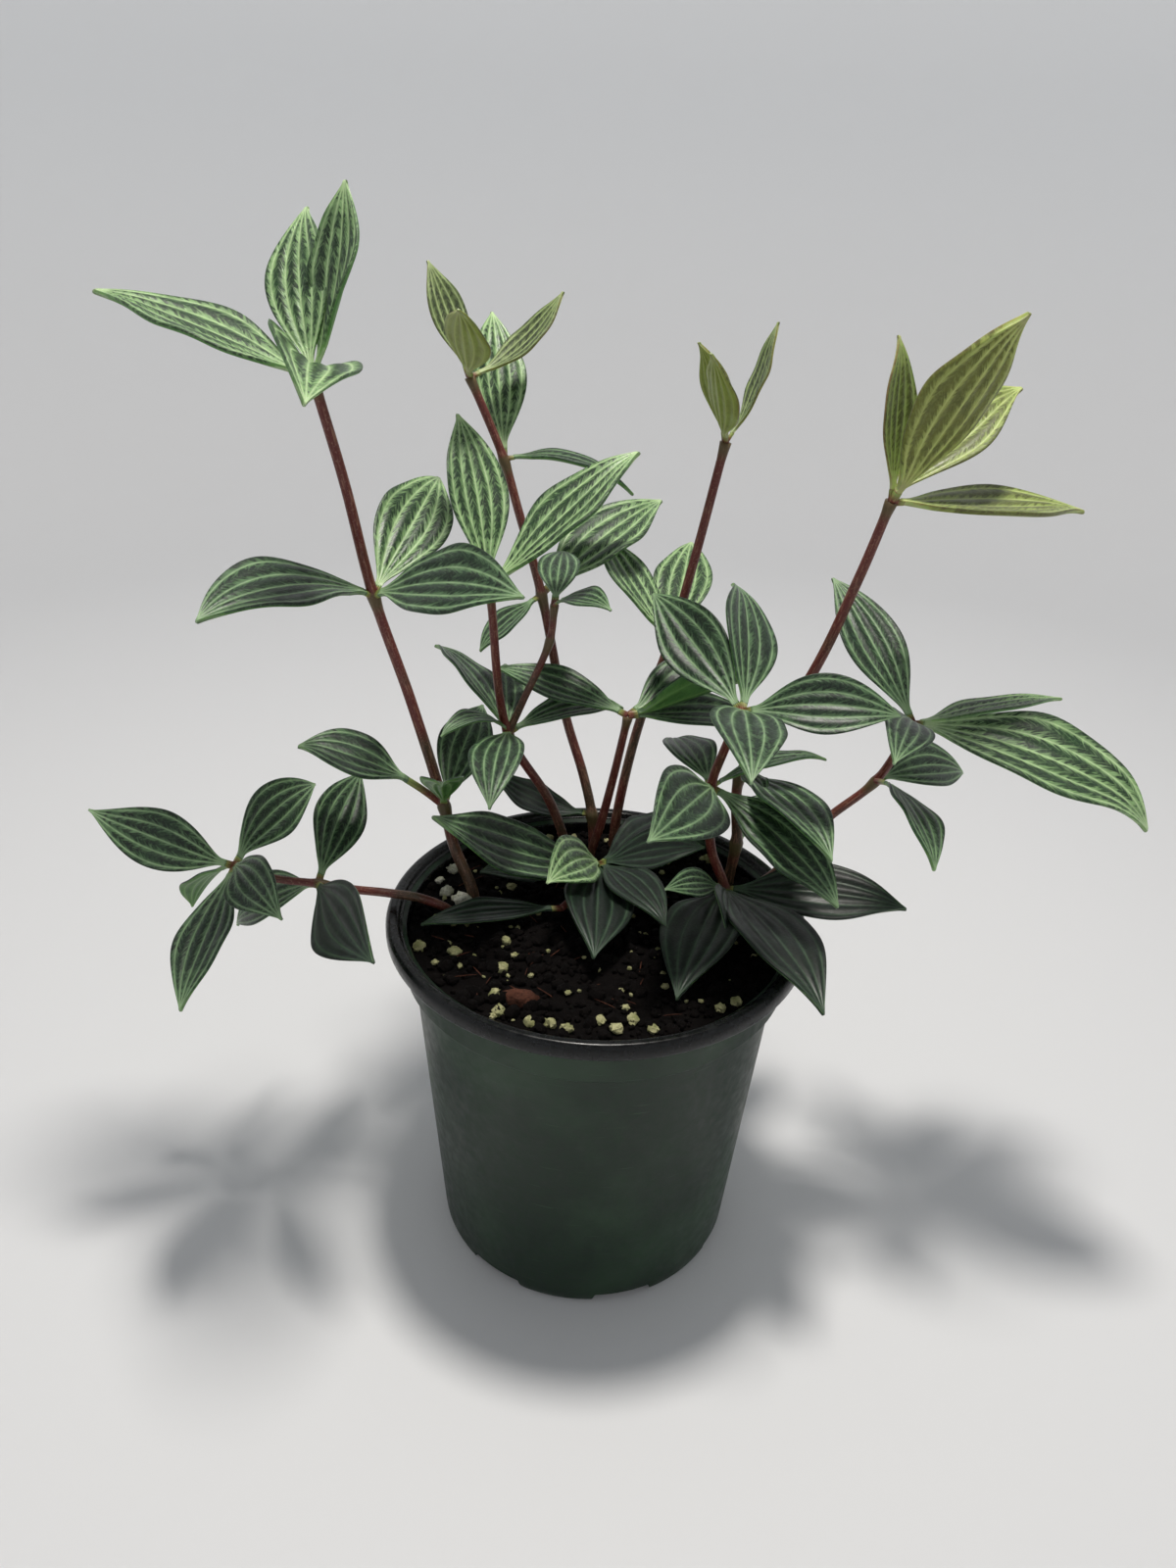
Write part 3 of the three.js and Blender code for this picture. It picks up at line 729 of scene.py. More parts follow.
@dataclass
class LeafPattern:
    """The flat leaf, in millimetres, that every leaf is a bent copy of. Its base is at x = 0, its tip along +X."""

    length: float = 40.0
    width: float = 18.0
    petiole: float = 3.0
    petiole_radius: float = 1.1
    thickness: float = 1.05
    columns: int = 26
    rows: int = 20
    crowding: float = 0.07  # how far columns move towards both ends
    vein_rows: tuple[int, ...] = (0, 4, 8)  # rows from the midrib that are veins
    quilt: float = 0.55  # how far a band bulges above its veins
    quilt_fullness: float = 0.8
    quilt_from: float = 0.35  # the share of the width from which the bulge is whole
    midrib_sink: float = 0.15
    blunt_tip: float = 0.3
    petiole_steps: int = 5
    petiole_round_from: float = 2.5
    petiole_roundness: float = 0.86
    lens: float = 1.1
    wedge_share: float = 0.12  # the petiole runs out in the blade by here
    waves: Pair = (1.4, 3.0)  # the fewest and most waves along an edge
    wave_heights: Pair = (0.2, 0.6)
    curl_from: float = 0.78  # the share of the length where the tip begins to curl down
    curls: Pair = (0.2, 1.6)  # how far it curls down
    sway: float = 0.05  # how far the belly moves aside, as a share of half the width
    sizes: Pair = (0.62, 1.15)  # the least and most that a leaf's relief is scaled
    flat: Piece | None = field(default=None, init=False)

    def half(self, share: np.ndarray, width: float) -> np.ndarray:
        """Half the width of a blade: a lens, wedged in at both ends, that starts as wide as the petiole.

        Args:
            share: Shares of the blade's length.
            width: The blade's full width.

        Returns:
            Half widths in the same unit as the width.
        """
        share = np.clip(share, 0.0, 1.0)
        blade = width / 2 * np.sin(np.pi * share) ** self.lens
        stalk = self.petiole_radius * np.clip(1 - share / self.wedge_share, 0, 1)
        return np.maximum(np.hypot(blade, stalk), self.blunt_tip)

    def build(self) -> None:
        """Models the pattern: a grid drawn in to the outline, quilted, thickened, and given its stalk."""
        grid = bpy.ops.mesh.primitive_grid_add
        leaf = start(grid, x_subdivisions=self.columns, y_subdivisions=self.rows, size=1)
        leaf.name = "leaf_pattern"
        places = places_of(leaf.data)
        column = np.rint((places[:, 0] + 0.5) * self.columns).astype(int)
        row = np.rint((places[:, 1] + 0.5) * self.rows).astype(int)
        from_midrib = np.abs(row - self.rows // 2)
        bpy.ops.object.mode_set(mode="EDIT")
        for first, last in zip(self.vein_rows, (*self.vein_rows[1:], self.rows // 2)):
            for step in range(1, last - first):
                pick(leaf, np.nonzero(from_midrib == first + step)[0])
                bulge = math.sin(math.pi * step / (last - first)) ** self.quilt_fullness
                lift = self.quilt * bulge * (last - first) / self.vein_rows[1]
                bpy.ops.transform.translate(value=(0, 0, lift * MM))
        pick(leaf, np.nonzero(from_midrib == 0)[0])
        bpy.ops.transform.translate(value=(0, 0, -self.midrib_sink * MM))
        even = np.arange(self.columns + 1) / self.columns
        for index, share in enumerate(even - self.crowding * np.sin(2 * np.pi * even)):
            pick(leaf, np.nonzero(column == index)[0])
            half = float(self.half(np.array(share), self.width)) * MM
            fade = min(1.0, half / (self.quilt_from * self.width * MM))
            bpy.ops.transform.resize(value=(1, 2 * half, fade), center_override=(0, 0, 0))
            old = index / self.columns - 0.5
            bpy.ops.transform.translate(value=(share * self.length * MM - old, 0, 0))
        bpy.ops.object.mode_set(mode="OBJECT")
        apply_modifier(leaf, "SOLIDIFY", thickness=self.thickness * MM, offset=-1.0, use_rim=True)
        self._draw_stalk(leaf)
        apply_modifier(leaf, "SUBSURF", levels=1, render_levels=1)
        face_outwards(leaf)
        bpy.ops.object.shade_smooth()
        for polygon in leaf.data.polygons:  # 0 for the upper side and rim, 1 for the underside, 2 for the stalk
            on_stalk = polygon.center.x < -0.3 * MM
            polygon.material_index = 2 if on_stalk else int(polygon.normal.z < -0.35)
        self.flat = leaf

    def _draw_stalk(self, leaf: Piece) -> None:
        """Extrudes the stalk from the rim at the blade's base, and rounds it.

        Args:
            leaf: The thickened blade.
        """
        alone(leaf)
        bpy.ops.object.mode_set(mode="EDIT")
        bpy.ops.mesh.select_mode(type="FACE")
        shape = bmesh.from_edit_mesh(leaf.data)
        for face in shape.faces:
            face.select = face.normal.x < -0.6 and face.calc_center_median().x < 0.5 * MM
        bmesh.update_edit_mesh(leaf.data)
        bpy.ops.transform.resize(value=(0, 1, 1), center_override=(0, 0, 0))
        step = self.petiole * MM / self.petiole_steps
        for _ in range(self.petiole_steps):
            bpy.ops.mesh.extrude_region_move(TRANSFORM_OT_translate={"value": (-step, 0, 0)})
        bpy.ops.mesh.select_mode(type="VERT")
        bpy.ops.object.mode_set(mode="OBJECT")
        places = places_of(leaf.data)
        middle = -self.thickness * MM / 2
        reach = np.clip(-places[:, 0] / (self.petiole_round_from * MM), 0, 1)
        stalk = places[:, 0] < -1e-6
        radius = self.petiole_radius * MM
        side = np.clip(places[:, 1] / radius, -1, 1)
        above = places[:, 2] > middle
        turn = side * 0.5 * np.pi * self.petiole_roundness
        round_y = radius * np.sin(turn)
        round_z = middle + np.where(above, 1, -1) * radius * np.cos(turn)
        places[stalk, 1] += (reach * (round_y - places[:, 1]))[stalk]
        places[stalk, 2] += (reach * (round_z - places[:, 2]))[stalk]
        put(leaf.data, places)

    def copy(self, leaf: Leaf, base: Triple, materials: list[Material], seed: int) -> Piece:
        """Lays a copy of the pattern along a leaf's midline.

        Args:
            leaf: The leaf.
            base: Its root in the middle of the stem, in millimetres.
            materials: Its upper skin, its underside and its stalk.
            seed: Its own number, which gives it its waves and its place in the patterns.

        Returns:
            The new leaf.
        """
        mesh = self.flat.data.copy()
        for material in materials:  # the pattern has none, and clearing them would unsort its faces
            mesh.materials.append(material)
        chance = random.Random(seed)
        flat = places_of(mesh) / MM
        share = flat[:, 0] / self.length
        on_blade = share > 0
        across = np.clip(flat[:, 1] / self.half(share, self.width), -1.15, 1.15)
        half = np.where(on_blade, self.half(share, leaf.width), self.petiole_radius)
        on_stalk = 1 + flat[:, 0] / self.petiole
        along = np.where(on_blade, leaf.petiole + share * leaf.length, leaf.petiole * on_stalk)
        side = np.where(on_blade, across * half, flat[:, 1])
        smallest, biggest = self.sizes
        size = min(biggest, max(smallest, leaf.width / self.width))
        belly = np.sin(np.pi * np.clip(share, 0, 1))
        wave = np.zeros(len(flat))
        for edge in (-1, 1):
            pitch, phase, height = (chance.uniform(*span) for span in (self.waves, (0, 6.3), self.wave_heights))
            near = np.clip(across * edge, 0, 1) ** 2
            wave += near * height * size * np.sin(2 * np.pi * pitch * share + phase) * belly
        tip = np.clip((share - self.curl_from) / (1 - self.curl_from), 0, 1)
        tip_curl = chance.uniform(*self.curls) * size * tip**2
        lift = flat[:, 2] * size + np.where(on_blade, leaf.cup * half * across**2 + wave - tip_curl, 0)
        lift = lift + np.clip(1 - share * 8, 0, 1) * self.thickness / 2 * min(1.0, size)
        side = side + np.where(on_blade, chance.uniform(-self.sway, self.sway) * half * belly, 0)
        distances, *tables = leaf.midline(base)
        middle, left, face = (
            np.stack([np.interp(along, distances, table[:, k]) for k in range(3)], 1) for table in tables
        )
        for direction in (left, face):
            direction /= np.linalg.norm(direction, axis=1)[:, None]
        put(mesh, (middle + left * side[:, None] + face * lift[:, None]) * MM)
        fineness = math.sqrt(self.width / leaf.width)
        veins = np.array(self.vein_rows) / (self.rows / 2)
        off_vein = np.min(np.abs(np.abs(across)[:, None] - veins[None, :]), axis=1)
        record_on(
            mesh,
            vein=off_vein * half * fineness,
            margin=np.where(on_blade, np.clip(1 - np.abs(across), 0, 1) * half, 0),
            share=np.where(on_blade, share, on_stalk),
            grown=np.stack([along, side, flat[:, 2]], 1) * fineness + 97.0 * chance.random(),
        )
        return new_object("leaf", mesh)


# ---------------------------------------------------------------- stems and shoots


@dataclass(frozen=True)
class Stem:
    """One stem along a smooth path, in millimetres, thinner towards the top and swollen at its joints."""

    path: tuple[Triple, ...]
    radii: Pair
    joints: tuple[int, ...]

    STEPS = 14  # between two points of the path
    SWELL = 0.34  # share by which a joint is thicker
    SWELL_BELOW = 2.6  # mm
    SWELL_ABOVE = 1.3  # mm
    GREEN_BELOW = 5.0  # mm
    NO_JOINT = -99.0  # mm

    def place(self, share: float) -> np.ndarray:
        """Finds the place at a share of the way along the path.

        Args:
            share: From 0 at the foot to 1 at the top.

        Returns:
            The place in millimetres.
        """
        points = np.array(self.path, float)
        last = len(points) - 1
        index = min(int(last * share), last - 1)
        weight = last * share - index
        before = points[index - 1] if index > 0 else 2 * points[0] - points[1]
        near, far = points[index], points[index + 1]
        after = points[index + 2] if index + 2 <= last else 2 * points[last] - points[last - 1]
        spans = ((before, near), (near, far), (far, after))
        gaps = [max(1e-4, float(np.linalg.norm(b - a)) ** 0.5) for a, b in spans]
        leave = (near - before) / gaps[0] - (far - before) / (gaps[0] + gaps[1]) + (far - near) / gaps[1]
        arrive = (far - near) / gaps[1] - (after - near) / (gaps[1] + gaps[2]) + (after - far) / gaps[2]
        leave, arrive = leave * gaps[1], arrive * gaps[1]
        cubic = 2 * near - 2 * far + leave + arrive
        square = -3 * near + 3 * far - 2 * leave - arrive
        return near + leave * weight + square * weight**2 + cubic * weight**3

    def build(self, material: Material, seed: int) -> Piece:
        """Models the stem as a round rod along its path.

        Args:
            material: The stem's skin.
            seed: Its own number, which gives it its place in the patterns.

        Returns:
            The new stem.
        """
        count = (len(self.path) - 1) * self.STEPS
        places = np.array([self.place(i / count) for i in range(count + 1)])
        walked = np.concatenate([[0], np.cumsum(np.linalg.norm(np.diff(places, axis=0), axis=1))])
        knots = walked[[j * self.STEPS for j in self.joints]] if self.joints else np.array([self.NO_JOINT])
        above = walked[:, None] - knots[None, :]
        swell, green = (
            np.exp(-((above / np.where(above < 0, below, self.SWELL_ABOVE)) ** 2)).max(1)
            for below in (self.SWELL_BELOW, self.GREEN_BELOW)
        )
        radius = np.interp(np.arange(count + 1) / count, [0, 1], self.radii) * (1 + self.SWELL * swell)
        rod = start(bpy.ops.curve.primitive_nurbs_path_add)
        rod.data.splines.clear()
        spline = rod.data.splines.new("POLY")
        spline.points.add(count)
        for point, place, thick in zip(spline.points, places, radius):
            point.co = (*(place * MM), 1.0)
            point.radius = thick * MM
        rod.data.dimensions = "3D"
        rod.data.bevel_depth = 1.0
        rod.data.bevel_resolution = 6
        rod.data.use_fill_caps = True
        bpy.ops.object.convert(target="MESH")
        rod = bpy.context.object
        face_outwards(rod, merge=True)
        bpy.ops.object.shade_smooth()
        skin = places_of(rod.data) / MM
        nearest = np.argmin(((skin[:, None, :] - places[None, :, :]) ** 2).sum(2), axis=1)
        ahead = np.gradient(places, axis=0)
        ahead /= np.linalg.norm(ahead, axis=1)[:, None]
        side = np.cross(np.array([0.0, 1.0, 0.0]), ahead)
        side /= np.linalg.norm(side, axis=1)[:, None]
        off = skin - places[nearest]
        offsets = [(off * direction[nearest]).sum(1) for direction in (side, np.cross(ahead, side))]
        record_on(
            rod.data,
            grown=np.stack([walked[nearest], *offsets], 1) + 61.0 * random.Random(seed).random(),
            share=nearest / count,
            margin=green[nearest],
            vein=np.zeros(len(skin)),
        )
        rod.data.materials.append(material)
        return rod


@dataclass
class Shoot:
    """One natural growth: its stems, and whorls of leaves on their joints."""

    name: str
    age: LeafAge
    stems: list[Stem]
    whorls: list[tuple[Triple, list[Leaf]]]

    LEAF_SEED_STEP = 17

    def build(self, pattern: LeafPattern, finishes: PlantFinishes, seed: int) -> Piece:
        """Models the shoot as one piece.

        Args:
            pattern: The leaf that all leaves are copies of.
            finishes: The plant's materials.
            seed: The shoot's own number.

        Returns:
            The piece, which stands for the shoot's solid.
        """
        parts = [stem.build(finishes.stem, seed + i) for i, stem in enumerate(self.stems)]
        for joint, leaves in self.whorls:
            for leaf in leaves:
                seed += self.LEAF_SEED_STEP
                parts.append(pattern.copy(leaf, joint, finishes.of_leaf(leaf.age or self.age), seed))
        piece = join(parts, self.name.replace("_shoot", "_growth"))
        hand_over(piece, self.name)
        return piece


# ---------------------------------------------------------------- pot


@dataclass
class NurseryPot:
    """The round pot, in millimetres."""

    height: float = 106.0
    rim_radius: float = 57.5
    rim_width: float = 3.6
    rim_depth: float = 4.4
    wall: float = 1.3
    collar_radius: float = 53.0
    ledge_height: float = 90.0
    shoulder_radius: float = 50.3
    corner_height: float = 4.0
    corner_radius: float = 43.3
    foot_radius: float = 41.7
    foot_width: float = 2.0
    floor_underside: float = 3.0
    pad_radius: float = 12.0
    notch_count: int = 7
    notch_width: float = 17.8
    notch_slant: float = 0.9
    notch_rise: float = 3.4
    notch_depth: float = 8.0
    first_notch: float = -73.3  # degrees
    slot_size: Triple = (5.0, 10.0, 6.0)
    slot_inset: float = 4.5
    sides: int = 144

    def profile(self) -> list[Pair]:
        """Lists the shell's outline.

        Returns:
            Radius and height from the middle of the underside, out and up over the rim, and down inside.
        """
        top, rim, ledge, under = self.height, self.rim_radius, self.ledge_height, self.floor_underside
        floor_top = under + self.wall
        foot_inside = self.foot_radius - self.foot_width
        rim_inside = rim - self.rim_width
        under_rim = top - self.wall
        skirt = top - self.rim_depth
        collar, corner = self.collar_radius, self.corner_radius
        lean = (floor_top - self.corner_height) / (ledge - self.corner_height)
        inside = corner + (self.shoulder_radius - corner) * lean - self.wall
        return [
            (1.0, 0.0), (self.pad_radius, 0.0), (self.pad_radius + 2, under), (foot_inside - 1, under),
            (foot_inside, 0.0), (self.foot_radius, 0.0), (corner - 0.75, 0.9), (corner - 0.22, 2.2),
            (corner, self.corner_height), (self.shoulder_radius, ledge), (collar - 0.3, ledge + 0.9),
            (collar, ledge + 1.8), (collar, under_rim - 0.3), (rim - self.wall, under_rim),
            (rim - self.wall, skirt), (rim - 0.3, skirt), (rim, skirt + 0.8), (rim, top - 1.7),
            (rim - 0.35, top - 0.7), (rim - 1.2, top), (rim_inside + 1.0, top), (rim_inside + 0.2, top - 0.5),
            (rim_inside - 0.2, top - 1.5), (collar - self.wall, top - 3), (collar - self.wall, ledge + 1.4),
            (self.shoulder_radius - self.wall, ledge), (inside + 0.4, floor_top + 2.5),
            (inside - 1.2, floor_top), (self.pad_radius + 1, floor_top), (self.pad_radius - 1, self.wall),
            (1.0, self.wall),
        ]  # fmt: skip

    def build(self) -> Piece:
        """Models the pot: a ring drawn along the profile, closed, softened and cut for drainage.

        Returns:
            The piece, which stands for the pot's solid.
        """
        pot = draw_rings(self.profile(), self.sides)
        face_outwards(pot)
        apply_modifier(pot, "BEVEL", width=0.35 * MM, segments=3, limit_method="ANGLE", angle_limit=math.radians(25))
        self._cut_drainage(pot)
        pot.name = pot.data.name = "moulded_pot"
        self._dress(pot)
        alone(pot)
        bpy.ops.object.shade_smooth_by_angle(angle=math.radians(32))
        hand_over(pot, "nursery_pot")
        return pot

    def _cut_drainage(self, pot: Piece) -> None:
        """Cuts the notches up through the foot ring and the slots in the floor behind them.

        Args:
            pot: The closed shell.
        """
        for i in range(self.notch_count):
            turn = math.radians(self.first_notch + 360 / self.notch_count * i)
            notch = self._block((self.notch_depth, self.notch_width, 2 * self.notch_rise))
            bpy.ops.object.mode_set(mode="EDIT")
            for sign in (-1, 1):
                pick(notch, np.nonzero(places_of(notch.data)[:, 2] * sign > 0)[0])
                lean = 1 - sign * 2 * self.notch_slant / self.notch_width
                bpy.ops.transform.resize(value=(1, lean, 1), center_override=(0, 0, 0))
            bpy.ops.object.mode_set(mode="OBJECT")
            apply_modifier(notch, "BEVEL", width=0.5 * MM, segments=3)
            self._cut(pot, notch, self.foot_radius, turn, 0.0)
            slot = self._block(self.slot_size)
            apply_modifier(slot, "BEVEL", width=1.2 * MM, segments=4)
            slot_reach = self.foot_radius - self.foot_width - self.slot_inset
            self._cut(pot, slot, slot_reach, turn, self.floor_underside)

    def _block(self, size: Triple) -> Piece:
        """Makes a block with its middle at the origin.

        Args:
            size: Its length, width and height in millimetres.

        Returns:
            The block.
        """
        block = start(bpy.ops.mesh.primitive_cube_add, size=MM, scale=size)
        settle(block)
        return block

    def _cut(self, pot: Piece, tool: Piece, reach: float, turn: float, height: float) -> None:
        """Cuts a tool's shape out of the pot and removes the tool.

        Args:
            pot: The pot.
            tool: The tool, made at the origin and pointing along +X.
            reach: How far out it goes, in millimetres.
            turn: Its heading in radians.
            height: Its height in millimetres.
        """
        tool.location = (reach * math.cos(turn) * MM, reach * math.sin(turn) * MM, height * MM)
        tool.rotation_euler = (0, 0, turn)
        settle(tool)
        apply_modifier(pot, "BOOLEAN", object=tool, operation="DIFFERENCE", solver="EXACT")
        bpy.data.objects.remove(tool)

    def _dress(self, pot: Piece) -> None:
        """Gives the wall its green plastic, and the rim and inside their black.

        Args:
            pot: The cut pot.
        """
        pot.data.materials.clear()
        for plastic in (
            PotPlastic("green_pot_plastic", "#0f2215", "#344f37", "#4a644e", 0.45, 0.36),
            PotPlastic("black_rim_plastic", "#08090a", "#191d20", "#363b3e", 0.3, 0.2),
        ):
            pot.data.materials.append(plastic.make())
        lean = (self.shoulder_radius - self.corner_radius) / (self.ledge_height - self.corner_height)
        # The margins of 0.3 to 0.6 mm keep the rounded edges with the faces that they round.
        for polygon in pot.data.polygons:
            x, y, z = (c / MM for c in polygon.center)
            reach = math.hypot(x, y)
            outside = self.corner_radius + lean * (z - self.corner_height) - 0.5 * self.wall
            if z > self.ledge_height:
                outside = self.collar_radius - 0.5 * self.wall
            in_rim = z > self.height - self.rim_depth - 0.3 and reach > self.collar_radius + 0.4
            in_rim = in_rim or z > self.height - self.wall - 0.6
            polygon.material_index = int(in_rim or (reach < outside and z > self.floor_underside + 0.6))


# ---------------------------------------------------------------- soil


@dataclass
class PottingSoil:
    """The filled inside of the pot: a bed of peat with crumbs, perlite and a chip of bark on it, in millimetres."""

    level: float = 101.0
    underside: float = 4.65
    foot_radius: float = 41.68
    ledge_height: float = 90.0
    ledge_radius: float = 48.65
    top_radius: float = 51.35
    rings: int = 26
    sides: int = 112
    swell: float = 0.7  # how high the bed's broad waves are
    roughness: float = 0.75  # and its fine ones
    sink: float = 0.3
    crumbs: int = 1500
    crumb_sizes: Pair = (0.45, 2.3)
    crumb_mean: float = 0.55  # above the smallest
    small_perlite: int = 130
    perlite_sizes: Pair = (0.4, 1.2)
    fibres: int = 60
    fibre_size: float = 0.32
    fibre_lengths: Pair = (5, 11)  # for its size
    fibre_girth: float = 0.5
    pushes: int = 7  # that make a ball a lump
    push: Pair = (0.78, 1.16)
    seed: int = 5
    grains: tuple[Triple, ...] = (
        (-38, 6, 3.4), (-47, -16, 2.1), (-43, 24, 2.0), (-46, 18, 1.8), (-41, 27, 2.2), (-43, 11, 2.4),
        (-37, -18, 2.0), (-24, -23, 2.2), (-25, -34, 1.9), (-23, -41, 2.1), (-15, -45, 2.1), (-10, -45, 1.8),
        (-6, -47, 1.9), (2, -43, 1.7), (6, -46, 2.0), (10, -42, 2.0), (15, -45, 1.6),
        (32, -35, 1.6), (36, -33, 1.8), (13, 40, 1.7), (33, 36, 2.0), (-25, 16, 1.6), (-24, -11, 1.7),
        (44, -8, 1.7), (22, 42, 1.6), (-16, 45, 1.7),
    )  # fmt: skip
    bark: Triple = (-18, -36, 4.0)
    bark_stretch: Triple = (1.25, 0.8, 0.6)

    def top(self, x: float, y: float) -> float:
        """Height of the bed in millimetres, a little higher towards the front."""
        waves = math.sin(x / 6.1 + 1.2) + math.sin(y / 4.7 - 0.6) + math.sin((x + y) / 3.3)
        return self.level - y / 70 + self.swell * waves / 3

    def build(self) -> Piece:
        """Models the bed and strews it.

        Returns:
            The piece, which stands for the soil's solid.
        """
        peat, fresh, algal, bark = (
            EarthFinish(*values).make()
            for values in (
                ("peat", "#0c0807", "#050303", "#020101", 0.6, 0.5),
                ("white_perlite", "#dedcd0", "#bdbda6", "#77775f", 0.5, 0.25, 0.9),
                ("green_perlite", "#b4b188", "#83855a", "#4c4e30", 0.5, 0.25, 0.9),
                ("bark_chip", "#5a382c", "#38221a", "#1c110d", 0.8, 0.5, 0.9),
            )
        )
        parts = [self._bed(peat)]
        chance = random.Random(self.seed)
        crumb = self._lump("crumb", segments=8, rings=6, seed=3)
        smallest, biggest = self.crumb_sizes
        for _ in range(self.crumbs):
            spot = self._spot(chance, 0.985)
            size = min(biggest, smallest + chance.expovariate(1 / self.crumb_mean))
            parts.append(self._strew(crumb, peat, spot, size, chance, stand=0.1))
        chip = self._lump("perlite_grain", segments=10, rings=8, seed=11)
        for x, y, size in self.grains:
            perlite = fresh if x < -30 and y > 0 else algal
            parts.append(self._strew(chip, perlite, (x, y), size, chance, stand=0.2))
        for _ in range(self.small_perlite):
            spot = self._spot(chance, 0.97)
            size = chance.uniform(*self.perlite_sizes)
            parts.append(self._strew(chip, algal, spot, size, chance, stand=0.35))
        x, y, size = self.bark
        parts.append(self._strew(chip, bark, (x, y), size, chance, 0.2, self.bark_stretch))
        for _ in range(self.fibres):
            spot = self._spot(chance, 0.9)
            stretch = (chance.uniform(*self.fibre_lengths), self.fibre_girth, self.fibre_girth)
            if math.hypot(*spot) < self.top_radius - 4:
                parts.append(self._strew(crumb, bark, spot, self.fibre_size, chance, 2.0, stretch))
        for master in (crumb, chip):
            bpy.data.objects.remove(master)
        soil = join(parts, "peat_and_perlite")
        hand_over(soil, "potting_soil")
        return soil

    def _bed(self, peat: Material) -> Piece:
        """Models the body of the soil with its rough top.

        Args:
            peat: Its material.

        Returns:
            The bed.
        """
        wall = [(self.foot_radius, self.underside), (self.ledge_radius, self.ledge_height)]
        wall += [(self.top_radius, self.ledge_height + 1.2), (self.top_radius, self.level)]
        face = [(self.top_radius * (1 - k / self.rings), self.level) for k in range(1, self.rings)]
        bed = draw_rings(wall + face, self.sides)
        face_outwards(bed)
        places = places_of(bed.data)
        for place in places:
            if place[2] > (self.level - 1) * MM:
                x, y = place[0] / MM, place[1] / MM
                rough = noise.fractal(Vector((x / 3.1, y / 3.1, 4.0)), 0.9, 2.1, 4)
                place[2] = (self.top(x, y) + self.roughness * rough - self.sink) * MM
        put(bed.data, places)
        bed.data.materials.append(peat)
        return bed

    def _lump(self, name: str, segments: int, rings: int, seed: int) -> Piece:
        """Models a lump of radius 1 mm: a ball whose corners are pushed in and out.

        Args:
            name: The lump's name.
            segments: Faces round it.
            rings: Faces from pole to pole.
            seed: The number that gives it its shape.

        Returns:
            The lump.
        """
        lump = start(bpy.ops.mesh.primitive_uv_sphere_add, segments=segments, ring_count=rings, radius=MM)
        lump.name = name
        chance = random.Random(seed)
        bpy.ops.object.mode_set(mode="EDIT")
        count = len(lump.data.vertices)
        for _ in range(self.pushes):
            pick(lump, chance.sample(range(count), count // 5))
            push = chance.uniform(*self.push)
            bpy.ops.transform.resize(value=(push, push, push), center_override=(0, 0, 0))
        bpy.ops.object.mode_set(mode="OBJECT")
        bpy.ops.object.shade_smooth_by_angle(angle=math.radians(40))
        return lump

    def _spot(self, chance: random.Random, share: float) -> Pair:
        """Draws a place on the bed, within a share of its radius."""
        reach, turn = self.top_radius * share * math.sqrt(chance.random()), chance.uniform(0, FULL_TURN)
        return reach * math.cos(turn), reach * math.sin(turn)

    def _strew(
        self,
        master: Piece,
        material: Material,
        spot: Pair,
        size: float,
        chance: random.Random,
        stand: float,
        stretch: Triple | None = None,
    ) -> Piece:
        """Lays a turned and stretched copy of a lump on the bed.

        Args:
            master: The lump.
            material: The copy's material.
            spot: Its place along X and Y in millimetres.
            size: Its radius in millimetres.
            chance: The source of its turn and stretch.
            stand: The share of its radius by which its middle stands above the bed.
            stretch: Its length, width and height for its radius, or None for a chance one.

        Returns:
            The copy.
        """
        tumble = Matrix.Identity(3)
        if stretch is None:
            stretch = (1.0, chance.uniform(0.65, 0.95), chance.uniform(0.5, 0.85))
            angle = chance.uniform(0, 6.3)
            tumble = Matrix.Rotation(angle, 3, Vector((chance.random(), chance.random(), 0.2)).normalized())
        spin = Matrix.Rotation(chance.uniform(0, FULL_TURN), 3, "Z")
        scale = Matrix.Diagonal(Vector(stretch) * size)
        x, y = spot
        reach, most = math.hypot(x, y), self.top_radius - size * max(stretch)
        if reach > most:
            x, y = (c * most / reach for c in (x, y))
        mesh = master.data.copy()
        turn = (spin @ scale @ tumble).to_4x4()
        mesh.transform(Matrix.Translation(Vector((x, y, self.top(x, y) + stand * size)) * MM) @ turn)
        mesh.materials.append(material)
        return new_object(master.name, mesh)


# ---------------------------------------------------------------- studio


